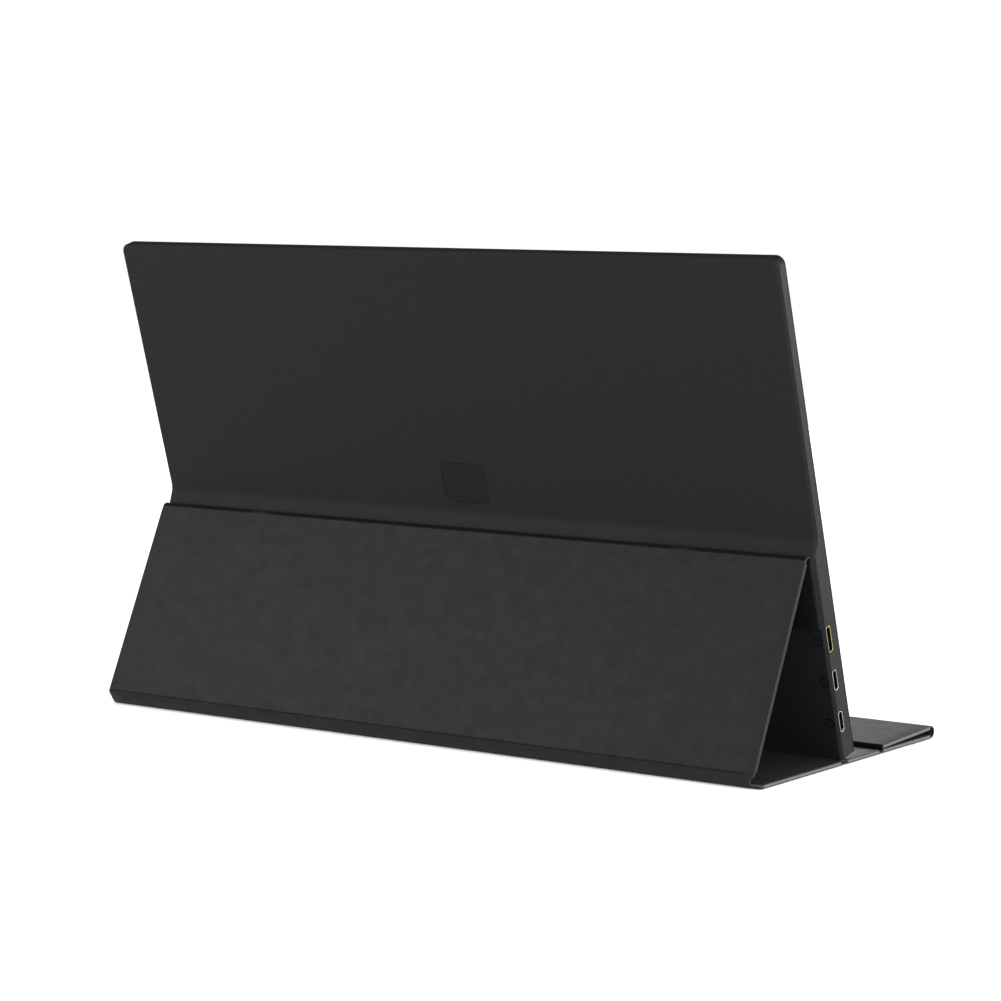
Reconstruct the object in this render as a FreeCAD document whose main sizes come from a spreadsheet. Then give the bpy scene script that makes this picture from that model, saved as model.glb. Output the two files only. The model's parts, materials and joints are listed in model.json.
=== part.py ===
import FreeCAD, Part
import os
import re
import Sketcher

# A portable monitor that stands on its own folding cover.
# Origin: on the table, under the middle of the footprint. +X runs along the screen's width, from the sockets
# to the buttons, the screen faces -Y, and +Z is up. Lengths are in millimetres and angles in degrees.
# Monitor pieces are drawn in the monitor's leaning frame: x along the width, n from the screen's face to the
# back, v up the screen from its lower edge.

SIZES = {
    # monitor shell
    "body_width": 356,
    "body_height": 217.5,
    "thin_depth": 6,
    "thick_depth": 10,
    "wall": 1.2,
    "edge_band": 1.2,
    "top_corner_radius": 6,
    "lean": 15.5,
    # ramp on the back, between the thin and the thick part
    "ramp_rise": 6,
    "ramp_setback": 1.2,
    "ramp_crown_radius": 4,
    "ramp_hollow_radius": 8,
    # bezel and its window
    "bezel_depth": 1,
    "window_side_margin": 5.5,
    "window_top_margin": 6,
    "window_foot_margin": 17.1,
    # display module, front to back
    "module_side_margin": 3,
    "module_top_margin": 3.5,
    "module_foot_margin": 11,
    "cell_depth": 0.9,
    "film_depth": 0.2,
    "guide_depth": 0.8,
    "reflector_depth": 0.2,
    "tray_sheet": 0.4,
    "tray_rim": 0.6,
    "film_clearance": 0.2,
    "led_height": 2,
    # boards
    "board_depth": 1,
    "board_gap": 0.7,
    "board_clearance": 0.5,
    "main_board_length": 96,
    "main_board_foot": 5,
    "main_board_height": 64,
    "key_board_length": 18,
    "key_board_foot": 12,
    "key_board_height": 36,
    "source_board_length": 260,
    "source_board_foot": 3,
    "source_board_height": 6,
    "cable_sheet": 0.25,
    "cable_width": 20,
    "cable_lap": 4,
    "post_radius": 2.2,
    "post_inset": 4,
    "socket_post_inset": 14,
    "screw_radius": 0.8,
    "screw_head_radius": 1.6,
    "screw_head_depth": 0.5,
    "screw_length": 4,
    "screw_clearance": 0.1,
    "shield_length": 38,
    "shield_height": 30,
    "shield_depth": 2,
    "shield_sheet": 0.3,
    "shield_inset": 30,
    "chip_side": 14,
    "chip_depth": 1,
    # sockets on the -X side
    "hdmi_height": 53.7,
    "hdmi_span": 11.2,
    "hdmi_depth": 3.2,
    "hdmi_corner": 0.8,
    "usb_upper_height": 35.2,
    "usb_lower_height": 16.4,
    "usb_span": 8.94,
    "usb_depth": 3.2,
    "usb_corner": 1.3,
    "socket_length": 7.4,
    "socket_wall": 0.3,
    "socket_recess": 0.2,
    "socket_clearance": 0.15,
    "tongue_depth": 0.7,
    "tongue_setback": 1,
    "tongue_margin": 1.3,
    # round port marks and badge on the back
    "mark_inset": 3.8,
    "mark_radius": 2.2,
    "mark_line": 0.4,
    "mark_sink": 0.2,
    "badge_width": 24,
    "badge_height": 18.4,
    "badge_corner": 4,
    "badge_middle": 111,
    "badge_depth": 0.4,
    "badge_sink": 0.5,
    "badge_clearance": 0.2,
    # buttons, switches and headphone socket on the +X side
    "power_height": 39,
    "menu_height": 21,
    "button_span": 10,
    "button_depth": 2.4,
    "button_corner": 1,
    "button_length": 2.8,
    "button_clearance": 0.3,
    "flange_length": 1.2,
    "flange_lip": 0.6,
    "switch_gap": 0.9,
    "switch_length": 2.6,
    "switch_span": 6,
    "switch_depth": 2.8,
    "jack_bore_radius": 1.75,
    "jack_bore_depth": 12,
    "jack_length": 13.8,
    "jack_span": 7,
    # speakers
    "speaker_gap": 4.3,
    "speaker_length": 32,
    "speaker_height": 14,
    "speaker_depth": 3.6,
    "slot_count": 6,
    "slot_pitch": 4,
    "slot_width": 1.4,
    "slot_depth": 2.4,
    # cover plies and panels
    "skin": 0.4,
    "core": 0.9,
    "lining": 0.4,
    "tape": 0.15,
    "joint_gap": 0.3,
    "tab": 1,
    "flap_inset": 1.3,
    "flap_height": 29.4,
    "fold_height": 89.8,
    "fold_slack": 0.87,
    "fold_tail": 1,
    "strut_lean": 25.2,
    "strut_inset": 1,
    "heel_height": 5.9,
    "heel_tuck": 4.1,
    "heel_notch": 2,
    "rest_gap": 0.3,
    "rest_lap": 1,
    "crease_setback": 1.4,
    "rear_crease": 6,
    "base_front_length": 25.7,
    "front_crease": 3.7,
    "lip_lower_length": 40.4,
    "front_fold_radius": 2.7,
    "lip_upper_length": 41.6,
    "lip_gap": 0.15,
}

# Worked out from the sizes. Names ending in _reach are measured in Y from the monitor's lower front edge.
LAYOUT = {
    "half_width": "body_width / 2",
    "ply": "skin + core + lining",
    "web": "2 * skin",
    "strut_width": "body_width - 2 * strut_inset",
    "axis_gap": "web / 2 + joint_gap",
    "ramp_angle": "atan((thick_depth - thin_depth) / ramp_rise)",
    "ramp_foot": "fold_height + ramp_setback",
    "ramp_head": "ramp_foot + ramp_rise",
    "crown_tangent": "ramp_crown_radius * tan(ramp_angle / 2)",
    "hollow_tangent": "ramp_hollow_radius * tan(ramp_angle / 2)",
    "cell_back": "bezel_depth + cell_depth",
    "film_back": "cell_back + film_depth",
    "guide_back": "film_back + guide_depth",
    "reflector_back": "guide_back + reflector_depth",
    "tray_back": "reflector_back + tray_sheet",
    "module_width": "body_width - 2 * module_side_margin",
    "module_height": "body_height - module_top_margin - module_foot_margin",
    "film_width": "module_width - 2 * tray_rim - 2 * film_clearance",
    "film_foot": "module_foot_margin + tray_rim + film_clearance",
    "film_height": "module_height - 2 * tray_rim - 2 * film_clearance",
    "board_front": "tray_back + board_gap",
    "board_back": "board_front + board_depth",
    "inner_back": "thick_depth - wall",
    "inner_side": "half_width - wall",
    "main_board_start": "board_clearance - inner_side",
    "main_board_end": "main_board_start + main_board_length",
    "main_board_head": "main_board_foot + main_board_height",
    "switch_top": "half_width - button_length - switch_gap",
    "key_board_start": "switch_top - key_board_length",
    "key_board_head": "key_board_foot + key_board_height",
    "button_line": "board_back + switch_depth / 2",
    "jack_depth": "inner_back - board_front - 2 * socket_clearance",
    "jack_middle_n": "(board_front + inner_back) / 2",
    "jack_middle_v": "key_board_head + jack_span / 2",
    "speaker_front": "inner_back - speaker_depth",
    "speaker_reach": "-main_board_end - speaker_gap - speaker_length / 2",
    "fold_radius": "ply + fold_slack",
    "fold_depth": "thick_depth + tape + fold_radius",
    "foot_z": "ply + rest_gap + thick_depth * sin(lean)",
    "edge_reach": "thick_depth * cos(lean)",
    "fold_reach": "fold_height * sin(lean) + fold_depth * cos(lean)",
    "fold_z": "foot_z + fold_height * cos(lean) - fold_depth * sin(lean)",
    "heel_offset": "fold_radius - web / 2",
    "strut_length": "(fold_z + heel_offset * sin(strut_lean) - heel_height) / cos(strut_lean)",
    "heel_reach": "fold_reach + strut_length * sin(strut_lean) + heel_offset * cos(strut_lean)",
    "heel_drop": "heel_height - web / 2",
    "heel_length": "sqrt(heel_tuck * heel_tuck + heel_drop * heel_drop)",
    "heel_angle": "atan(heel_tuck / heel_drop)",
    "base_axis_reach": "heel_reach - heel_tuck",
    "rear_crease_reach": "edge_reach + crease_setback - rear_crease / 2",
    "front_crease_reach": "rear_crease_reach - rear_crease / 2 - base_front_length - front_crease / 2",
    "front_fold_reach": "front_crease_reach - front_crease / 2 - lip_lower_length - fold_tail",
    "foot_y": "(front_fold_radius - front_fold_reach - heel_reach - web / 2) / 2",
    "fold_y": "foot_y + fold_reach",
    "heel_y": "foot_y + heel_reach",
    "base_axis_y": "foot_y + base_axis_reach",
    "rear_crease_y": "foot_y + rear_crease_reach",
    "front_crease_y": "foot_y + front_crease_reach",
    "front_fold_y": "foot_y + front_fold_reach",
    "lip_slope": "asin((2 * front_fold_radius - 2 * ply - lip_gap) / lip_upper_length)",
    "core_top": "skin + core",
}

doc = FreeCAD.newDocument("portable_monitor")
sheet = doc.addObject("Spreadsheet::Sheet", "Sizes")
for row, (alias, number) in enumerate(SIZES.items(), 1):
    sheet.set(f"A{row}", alias.replace("_", " "))
    sheet.set(f"B{row}", str(number))
    sheet.setAlias(f"B{row}", alias)
doc.recompute()

FULL_NAMES = {alias: f"Sizes.{alias}" for alias in SIZES}


def full(text):
    """An expression written with short names, with each name's owner added."""
    return re.sub(r"[a-z_]+", lambda m: FULL_NAMES.get(m.group(), m.group()), text)


layout = doc.addObject("App::VarSet", "Layout")
for alias, rule in LAYOUT.items():
    layout.addProperty("App::PropertyFloat", alias)
    layout.setExpression(alias, full(rule))
doc.recompute()
FULL_NAMES.update({alias: f"Layout.{alias}" for alias in LAYOUT})

# Frames that pieces are drawn in: the origin's Y and Z, and the turn about X.
PLACES = {
    "table": ("0", "0", "0"),
    "monitor": ("foot_y", "foot_z", "-lean"),
    "top_fold": ("fold_y", "fold_z", "-lean"),
    "strut": ("fold_y", "fold_z", "strut_lean"),
    "heel": ("heel_y", "heel_height", "-heel_angle"),
    "front_fold": ("front_fold_y", "front_fold_radius", "0"),
    "lip": ("front_fold_y", "front_fold_radius", "-lip_slope"),
}
NODES = []


def value(text):
    """The number that an expression has now."""
    return float(sheet.evalExpression(full(text)))


def bind(thing, name, text):
    """Ties one property of an object to an expression."""
    thing.setExpression(name, full(text))


def seat(thing, place, x="0", n="0", v="0"):
    """Puts an object's own origin at (x, n, v) of a frame, turned with that frame."""
    y, z, turn = PLACES[place]
    thing.Placement = FreeCAD.Placement(FreeCAD.Vector(), FreeCAD.Rotation(FreeCAD.Vector(1, 0, 0), 1))
    bind(thing, "Placement.Rotation.Angle", turn)
    bind(thing, "Placement.Base.x", x)
    bind(thing, "Placement.Base.y", f"{y} + ({n}) * cos({turn}) - ({v}) * sin({turn})")
    bind(thing, "Placement.Base.z", f"{z} + ({n}) * sin({turn}) + ({v}) * cos({turn})")


def node(thing, name):
    """Marks an object as a finished piece."""
    thing.Label = name
    NODES.append(thing)
    return thing


def block(name, place, low, size):
    """A plain block from its low corner (x, n, v) and its size."""
    thing = doc.addObject("Part::Box", name)
    seat(thing, place, *low)
    for side, text in zip(("Length", "Width", "Height"), size):
        bind(thing, side, text)
    return thing


def layer(name, place, width, n_from, n_to, v_from, v_to):
    """A block centred on the width, between two depths and two heights."""
    low = (f"-({width}) / 2", n_from, v_from)
    return node(block(name, place, low, (width, f"{n_to} - ({n_from})", f"{v_to} - ({v_from})")), name)


def new_body(name, place, x="0", n="0", v="0"):
    """An empty body seated in a frame."""
    body = doc.addObject("PartDesign::Body", name)
    seat(body, place, x, n, v)
    return body


def attach(body, name, role, depth="0"):
    """A sketch on one of the body's own planes, moved along that plane's normal."""
    plane = next(feature for feature in body.Origin.OriginFeatures if feature.Role == role)
    sketch = body.newObject("Sketcher::SketchObject", name)
    sketch.AttachmentSupport = [(plane, "")]
    sketch.MapMode = "FlatFace"
    bind(sketch, "AttachmentOffset.Base.z", depth)
    return sketch


def pin(sketch, shape, point, across, up):
    """Fixes one point of a sketch by its distances from the sketch's origin."""
    for kind, text in (("DistanceX", across), ("DistanceY", up)):
        if text is not None:
            index = sketch.addConstraint(Sketcher.Constraint(kind, -1, 1, shape, point, value(text)))
            bind(sketch, f"Constraints[{index}]", text)


def draw(sketch, corners, arcs=None):
    """Draws a closed outline through corners, counter-clockwise.

    arcs gives, for an edge by the number of its first corner, the centre, the centre's coordinate that is
    fixed and whether the arc runs counter-clockwise.
    """
    arcs = arcs or {}
    points = [FreeCAD.Vector(value(a), value(b), 0) for a, b in corners]
    ends = []
    for i, start in enumerate(points):
        finish = points[(i + 1) % len(points)]
        if i not in arcs:
            ends.append((sketch.addGeometry(Part.LineSegment(start, finish), False), 1, 2))
            continue
        (across, up), fixed, forwards = arcs[i]
        middle = FreeCAD.Vector(value(across), value(up), 0)
        first, last = (start, finish) if forwards else (finish, start)
        circle = Part.Circle(middle, FreeCAD.Vector(0, 0, 1), (start - middle).Length)
        arc = Part.ArcOfCircle(circle, circle.parameter(first), circle.parameter(last))
        shape = sketch.addGeometry(arc, False)
        ends.append((shape, 1, 2) if forwards else (shape, 2, 1))
        pin(sketch, shape, 3, across if fixed == "across" else None, up if fixed == "up" else None)
    for i, (shape, _, end) in enumerate(ends):
        after, begin, _ = ends[(i + 1) % len(ends)]
        sketch.addConstraint(Sketcher.Constraint("Coincident", shape, end, after, begin))
    for (shape, begin, _), (across, up) in zip(ends, corners):
        pin(sketch, shape, begin, across, up)


def draw_circle(sketch, across, up, radius):
    """Draws a full circle."""
    middle = FreeCAD.Vector(value(across), value(up), 0)
    shape = sketch.addGeometry(Part.Circle(middle, FreeCAD.Vector(0, 0, 1), value(radius)), False)
    pin(sketch, shape, 3, across, up)
    index = sketch.addConstraint(Sketcher.Constraint("Radius", shape, value(radius)))
    bind(sketch, f"Constraints[{index}]", radius)


def rectangle(left, low, right, high):
    """Corners of a rectangle."""
    return [(left, low), (right, low), (right, high), (left, high)]


def rounded(across, up, width, height, radius):
    """Corners and corner arcs of a rounded rectangle about its middle."""
    left, right = f"{across} - ({width}) / 2", f"{across} + ({width}) / 2"
    low, high = f"{up} - ({height}) / 2", f"{up} + ({height}) / 2"
    in_left, in_right = f"{left} + {radius}", f"{right} - ({radius})"
    in_low, in_high = f"{low} + {radius}", f"{high} - ({radius})"
    corners = [(in_left, low), (in_right, low), (right, in_low), (right, in_high),
               (in_right, high), (in_left, high), (left, in_high), (left, in_low)]
    arcs = {1: ((in_right, in_low), "across", True), 3: ((in_right, in_high), "across", True),
            5: ((in_left, in_high), "across", True), 7: ((in_left, in_low), "across", True)}
    return corners, arcs


def pad(body, sketch, length, both_ways=False, backwards=False):
    """Raises a sketch into a solid, to both sides or to one."""
    feature = body.newObject("PartDesign::Pad", sketch.Name + "_pad")
    feature.Profile = sketch
    feature.SideType = "Symmetric" if both_ways else "One side"
    feature.Reversed = backwards
    bind(feature, "Length", length)
    doc.recompute()
    return feature


def pocket(body, sketch, length, both_ways=False, backwards=False):
    """Cuts a sketch out of a body, and makes sure that something was cut."""
    before = body.Shape.Volume
    feature = body.newObject("PartDesign::Pocket", sketch.Name + "_pocket")
    feature.Profile = sketch
    feature.SideType = "Symmetric" if both_ways else "One side"
    feature.Reversed = backwards
    bind(feature, "Length", length)
    doc.recompute()
    if not body.Shape.Volume < before:
        raise ValueError(f"{sketch.Name} cuts nothing")
    return feature


def dress(body, kind, name, size_name, size, test):
    """Rounds or bevels the edges of a body that pass a test."""
    base = body.Tip
    chosen = [f"Edge{i}" for i, edge in enumerate(base.Shape.Edges, 1) if test(edge, base.Shape)]
    feature = body.newObject(kind, name)
    feature.Base = (base, chosen)
    bind(feature, size_name, size)
    doc.recompute()
    return feature


def runs_deep(edge):
    """True for a straight edge that runs along n."""
    along = edge.Vertexes[-1].Point - edge.Vertexes[0].Point
    return along.Length > 0 and abs(abs(along.y) - along.Length) < 1e-6


def corner_test(side, height):
    """A test for the edges that run along n at a given half width and height."""
    def test(edge, shape):
        point = edge.Vertexes[0].Point
        at_corner = abs(abs(point.x) - value(side)) < 1e-6 and abs(point.z - value(height)) < 1e-6
        return at_corner and runs_deep(edge)
    return test


def back_outline(edge, shape):
    """True for an edge between the back and a side or the top, but not the lower edge that it stands on."""
    middle = edge.valueAt((edge.FirstParameter + edge.LastParameter) / 2)
    normals = []
    for face in shape.ancestorsOfType(edge, Part.Face):
        normals.append(face.normalAt(*face.Surface.parameter(middle)))
    backs = [normal for normal in normals if normal.y > 0.5]
    walls = [normal for normal in normals if abs(normal.y) < 1e-6 and normal.z > -0.5]
    return len(backs) == 1 and len(walls) == 1


def profile_piece(name, place, corners, width, arcs=None, x="0"):
    """A piece of one section, drawn in n and v and raised evenly along the width."""
    body = new_body(name, place, x)
    sketch = attach(body, name + "_section", "YZ_Plane")
    draw(sketch, corners, arcs)
    pad(body, sketch, width, both_ways=True)
    return node(body, name)


# Monitor shell

POSTS = [(f"main_board_start + {inset}", f"{edge} {sign} post_inset")
         for inset in ("socket_post_inset", "main_board_length - post_inset")
         for edge, sign in (("main_board_foot", "+"), ("main_board_head", "-"))]
POSTS += [("key_board_start + key_board_length / 2", f"{edge} {sign} post_inset")
          for edge, sign in (("key_board_foot", "+"), ("key_board_head", "-"))]
SOCKETS = {"mini_hdmi": ("hdmi_height", "hdmi_span", "hdmi_depth", "hdmi_corner"),
           "usb_c_upper": ("usb_upper_height", "usb_span", "usb_depth", "usb_corner"),
           "usb_c_lower": ("usb_lower_height", "usb_span", "usb_depth", "usb_corner")}
BUTTONS = {"power_button": "power_height", "menu_button": "menu_height"}


def rear_cover():
    """Back shell: one leaning section along the width, bevelled round the back, hollow, with its openings."""
    body = new_body("rear_cover", "monitor")
    section = attach(body, "rear_cover_section", "YZ_Plane")
    crown = ("thick_depth - ramp_crown_radius", "ramp_foot - crown_tangent")
    hollow = ("thin_depth + ramp_hollow_radius", "ramp_head + hollow_tangent")
    crown_end = ("thick_depth - crown_tangent * sin(ramp_angle)",
                 "ramp_foot + crown_tangent * cos(ramp_angle)")
    hollow_start = ("thin_depth + hollow_tangent * sin(ramp_angle)",
                    "ramp_head - hollow_tangent * cos(ramp_angle)")
    corners = [("bezel_depth", "0"), ("thick_depth", "0"), ("thick_depth", crown[1]), crown_end, hollow_start,
               ("thin_depth", hollow[1]), ("thin_depth", "body_height"), ("bezel_depth", "body_height")]
    draw(section, corners, {2: (crown, "across", True), 4: (hollow, "across", False)})
    pad(body, section, "body_width", both_ways=True)
    dress(body, "PartDesign::Fillet", "top_corners", "Radius", "top_corner_radius",
          corner_test("half_width", "body_height"))
    dress(body, "PartDesign::Chamfer", "edge_bevel", "Size", "edge_band", back_outline)

    cavity = attach(body, "cavity", "XZ_Plane", "-bezel_depth")
    shoulder, head = "body_height - top_corner_radius", "body_height - wall"
    in_left, in_right = "top_corner_radius - half_width", "half_width - top_corner_radius"
    draw(cavity, [("-inner_side", "wall"), ("inner_side", "wall"), ("inner_side", shoulder), (in_right, head),
                  (in_left, head), ("-inner_side", shoulder)],
         {2: ((in_right, shoulder), "across", True), 4: ((in_left, shoulder), "across", True)})
    pocket(body, cavity, "thin_depth - wall - bezel_depth")
    well = attach(body, "well", "YZ_Plane")
    draw(well, [("bezel_depth", "wall"), ("inner_back", "wall"), ("inner_back", "ramp_foot - wall"),
                ("thin_depth - wall", "ramp_head - wall"), ("bezel_depth", "ramp_head - wall")])
    pocket(body, well, "2 * inner_side", both_ways=True)

    posts = attach(body, "posts", "XZ_Plane", "-board_back")
    for x, v in POSTS:
        draw_circle(posts, x, v, "post_radius")
        draw_circle(posts, x, v, "screw_radius + screw_clearance / 2")
    pad(body, posts, "inner_back - board_back + wall / 2", backwards=True)

    ports = attach(body, "port_openings", "YZ_Plane", "-inner_side")
    for height, span, depth, corner in SOCKETS.values():
        draw(ports, *rounded(f"board_back + {depth} / 2", height, f"{depth} + 2 * socket_clearance",
                             f"{span} + 2 * socket_clearance", f"{corner} + socket_clearance"))
    pocket(body, ports, "wall")

    controls = attach(body, "control_openings", "YZ_Plane", "inner_side")
    for height in BUTTONS.values():
        draw(controls, *rounded("button_line", height, "button_depth + 2 * button_clearance",
                                "button_span + 2 * button_clearance", "button_corner + button_clearance"))
    draw_circle(controls, "jack_middle_n", "jack_middle_v", "jack_bore_radius + socket_clearance")
    pocket(body, controls, "wall", backwards=True)

    slots = attach(body, "sound_slots", "XY_Plane")
    for side in ("-", "+"):
        for i in range(int(value("slot_count"))):
            middle = f"{side} speaker_reach + ({i} - (slot_count - 1) / 2) * slot_pitch"
            draw(slots, rectangle(f"{middle} - slot_width / 2", "inner_back - slot_depth",
                                  f"{middle} + slot_width / 2", "inner_back"))
    pocket(body, slots, "wall", backwards=True)

    marks = attach(body, "port_marks", "XZ_Plane", "-thick_depth")
    for height, *_ in SOCKETS.values():
        draw_circle(marks, "mark_inset - half_width", height, "mark_radius")
        draw_circle(marks, "mark_inset - half_width", height, "mark_radius - mark_line")
    pocket(body, marks, "mark_sink", backwards=True)

    recess = attach(body, "badge_recess", "XZ_Plane", "-thin_depth")
    draw(recess, *rounded("0", "badge_middle", "badge_width + 2 * badge_clearance",
                          "badge_height + 2 * badge_clearance", "badge_corner + badge_clearance"))
    pocket(body, recess, "badge_sink", backwards=True)
    node(body, "rear_cover")


def front_bezel():
    """Thin frame round the screen, with the same outline as the back shell."""
    body = new_body("front_bezel", "monitor")
    frame = attach(body, "bezel_frame", "XZ_Plane")
    shoulder = "body_height - top_corner_radius"
    in_left, in_right = "top_corner_radius - half_width", "half_width - top_corner_radius"
    draw(frame, [("-half_width", "0"), ("half_width", "0"), ("half_width", shoulder),
                 (in_right, "body_height"), (in_left, "body_height"), ("-half_width", shoulder)],
         {2: ((in_right, shoulder), "across", True), 4: ((in_left, shoulder), "across", True)})
    draw(frame, rectangle("window_side_margin - half_width", "window_foot_margin",
                          "half_width - window_side_margin", "body_height - window_top_margin"))
    pad(body, frame, "bezel_depth", backwards=True)
    node(body, "front_bezel")


def badge_plate():
    """Bare rounded plate on the floor of its recess in the back."""
    body = new_body("badge_plate", "monitor", n="thin_depth - badge_sink")
    plate = attach(body, "badge_outline", "XZ_Plane")
    draw(plate, *rounded("0", "badge_middle", "badge_width", "badge_height", "badge_corner"))
    pad(body, plate, "badge_depth", backwards=True)
    node(body, "badge_plate")


# Display module

def display_module():
    """Cell, films and light guide in their tray, front to back, with the LED strip along the lower edge."""
    foot, head = "module_foot_margin", "body_height - module_top_margin"
    film_head = "film_foot + film_height"
    guide_foot = "film_foot + led_height + film_clearance"
    layer("lcd_cell", "monitor", "module_width", "bezel_depth", "cell_back", foot, head)
    layer("diffuser_film", "monitor", "film_width", "cell_back", "film_back", guide_foot, film_head)
    layer("light_guide", "monitor", "film_width", "film_back", "guide_back", guide_foot, film_head)
    layer("reflector_sheet", "monitor", "film_width", "guide_back", "reflector_back", guide_foot, film_head)
    layer("led_strip", "monitor", "film_width", "film_back", "reflector_back",
          "film_foot", "film_foot + led_height")
    body = new_body("backlight_tray", "monitor", n="cell_back")
    outside = attach(body, "tray_outside", "XZ_Plane")
    draw(outside, rectangle("-module_width / 2", foot, "module_width / 2", head))
    pad(body, outside, "tray_back - cell_back", backwards=True)
    inside = attach(body, "tray_inside", "XZ_Plane")
    draw(inside, rectangle("tray_rim - module_width / 2", f"{foot} + tray_rim",
                           "module_width / 2 - tray_rim", f"{head} - tray_rim"))
    pocket(body, inside, "reflector_back - cell_back")
    node(body, "backlight_tray")
    layer("source_board", "monitor", "source_board_length", "bezel_depth", "cell_back",
          "source_board_foot", "source_board_foot + source_board_height")


# Boards, cables and screws

def board(name, start, end, foot, head, posts):
    """A circuit board with a screw hole over each of its posts."""
    body = new_body(name, "monitor", n="board_front")
    outline = attach(body, name + "_outline", "XZ_Plane")
    draw(outline, rectangle(start, foot, end, head))
    for x, v in posts:
        draw_circle(outline, x, v, "screw_radius + screw_clearance")
    pad(body, outline, "board_depth", backwards=True)
    node(body, name)


def board_screws():
    """Flat-headed screws, turned about their axes, from the boards into the posts."""
    screws = []
    for i, (x, v) in enumerate(POSTS):
        body = new_body(f"screw_{i}", "monitor", x=x, n="board_front", v=v)
        half = attach(body, f"screw_{i}_half", "XY_Plane")
        draw(half, [("0", "-screw_head_depth"), ("screw_head_radius", "-screw_head_depth"),
                    ("screw_head_radius", "0"), ("screw_radius", "0"),
                    ("screw_radius", "screw_length"), ("0", "screw_length")])
        turned = body.newObject("PartDesign::Revolution", f"screw_{i}_turned")
        turned.Profile = half
        turned.ReferenceAxis = (half, ["V_Axis"])
        screws.append(body)
    group = doc.addObject("Part::Compound", "board_screws")
    group.Links = screws
    node(group, "board_screws")


def chip_shield():
    """Chip on the main board, under an open-fronted metal can."""
    x, v = "main_board_start + shield_inset", "main_board_foot + (main_board_height - shield_height) / 2"
    chip_x, chip_v = f"{x} + (shield_length - chip_side) / 2", f"{v} + (shield_height - chip_side) / 2"
    chip = block("scaler_chip", "monitor", (chip_x, "board_back", chip_v),
                 ("chip_side", "chip_depth", "chip_side"))
    node(chip, "scaler_chip")
    outside = block("shield_outside", "monitor", (x, "board_back", v),
                    ("shield_length", "shield_depth", "shield_height"))
    inside = block("shield_inside", "monitor", (f"{x} + shield_sheet", "board_back", f"{v} + shield_sheet"),
                   ("shield_length - 2 * shield_sheet", "shield_depth - shield_sheet",
                    "shield_height - 2 * shield_sheet"))
    can = doc.addObject("Part::Cut", "chip_shield")
    can.Base = outside
    can.Tool = inside
    node(can, "chip_shield")


def cables():
    """Flat cables: source board to main board, key board to main board, and main board to both speakers."""
    bend = "source_board_foot + source_board_height - cable_sheet"
    profile_piece("panel_cable", "monitor",
                  [("cell_back", f"{bend} - cable_lap"), ("cell_back + cable_sheet", f"{bend} - cable_lap"),
                   ("cell_back + cable_sheet", bend), ("board_front", bend),
                   ("board_front", f"{bend} + 2 * cable_lap"),
                   ("board_front - cable_sheet", f"{bend} + 2 * cable_lap"),
                   ("board_front - cable_sheet", f"{bend} + cable_sheet"),
                   ("cell_back", f"{bend} + cable_sheet")],
                  "cable_width", x="main_board_start + main_board_length / 2")
    key_foot = "key_board_foot + key_board_height / 2 - cable_lap"
    key_start = "main_board_end - cable_lap"
    key = block("key_cable", "monitor", (key_start, "board_front - cable_sheet", key_foot),
                (f"key_board_start + cable_lap - ({key_start})", "cable_sheet", "2 * cable_lap"))
    node(key, "key_cable")
    sound_foot = "wall + speaker_height / 2"
    sound = block("speaker_cable", "monitor", ("main_board_end", "speaker_front - cable_sheet", sound_foot),
                  ("speaker_reach + speaker_length / 2 - main_board_end", "cable_sheet", "cable_lap"))
    node(sound, "speaker_cable")


def speakers():
    """Two flat speakers on the back shell's inside, over their sound slots."""
    for name, middle in (("speaker_left", "speaker_reach"), ("speaker_right", "-speaker_reach")):
        low = (f"{middle} - speaker_length / 2", "speaker_front", "wall + board_clearance")
        node(block(name, "monitor", low, ("speaker_length", "speaker_depth", "speaker_height")), name)


# Sockets and buttons

def socket(name, height, span, depth, corner):
    """A socket's drawn shell, closed at the rear, and the tongue inside it."""
    line = f"board_back + {depth} / 2"
    body = new_body(name + "_shell", "monitor", x="socket_recess - half_width", n=line, v=height)
    outside = attach(body, name + "_outside", "YZ_Plane")
    draw(outside, *rounded("0", "0", depth, span, corner))
    pad(body, outside, "socket_length")
    inside = attach(body, name + "_inside", "YZ_Plane")
    draw(inside, *rounded("0", "0", f"{depth} - 2 * socket_wall", f"{span} - 2 * socket_wall",
                          f"{corner} - socket_wall"))
    pocket(body, inside, "socket_length - socket_wall", backwards=True)
    node(body, name + "_shell")
    low = ("socket_recess - half_width + tongue_setback", f"{line} - tongue_depth / 2",
           f"{height} - {span} / 2 + tongue_margin")
    size = ("socket_length - socket_wall - tongue_setback", "tongue_depth", f"{span} - 2 * tongue_margin")
    node(block(name + "_tongue", "monitor", low, size), name + "_tongue")


def button(name, height):
    """A push button, flush with the side, held behind the wall by its flange."""
    body = new_body(name, "monitor", x="half_width - button_length", n="button_line", v=height)
    flange = attach(body, name + "_flange", "YZ_Plane")
    draw(flange, rectangle("-button_depth / 2 - flange_lip", "-button_span / 2 - flange_lip",
                           "button_depth / 2 + flange_lip", "button_span / 2 + flange_lip"))
    pad(body, flange, "flange_length")
    cap = attach(body, name + "_cap", "YZ_Plane")
    draw(cap, *rounded("0", "0", "button_depth", "button_span", "button_corner"))
    pad(body, cap, "button_length")
    node(body, name)


def key_switches():
    """Side switches on the key board, one behind each button, short of the button's travel."""
    switches = []
    for name, height in BUTTONS.items():
        low = ("switch_top - switch_length", "board_back", f"{height} - switch_span / 2")
        size = ("switch_length", "switch_depth", "switch_span")
        switches.append(block(name + "_switch", "monitor", low, size))
    group = doc.addObject("Part::Compound", "key_switches")
    group.Links = switches
    node(group, "key_switches")


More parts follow.
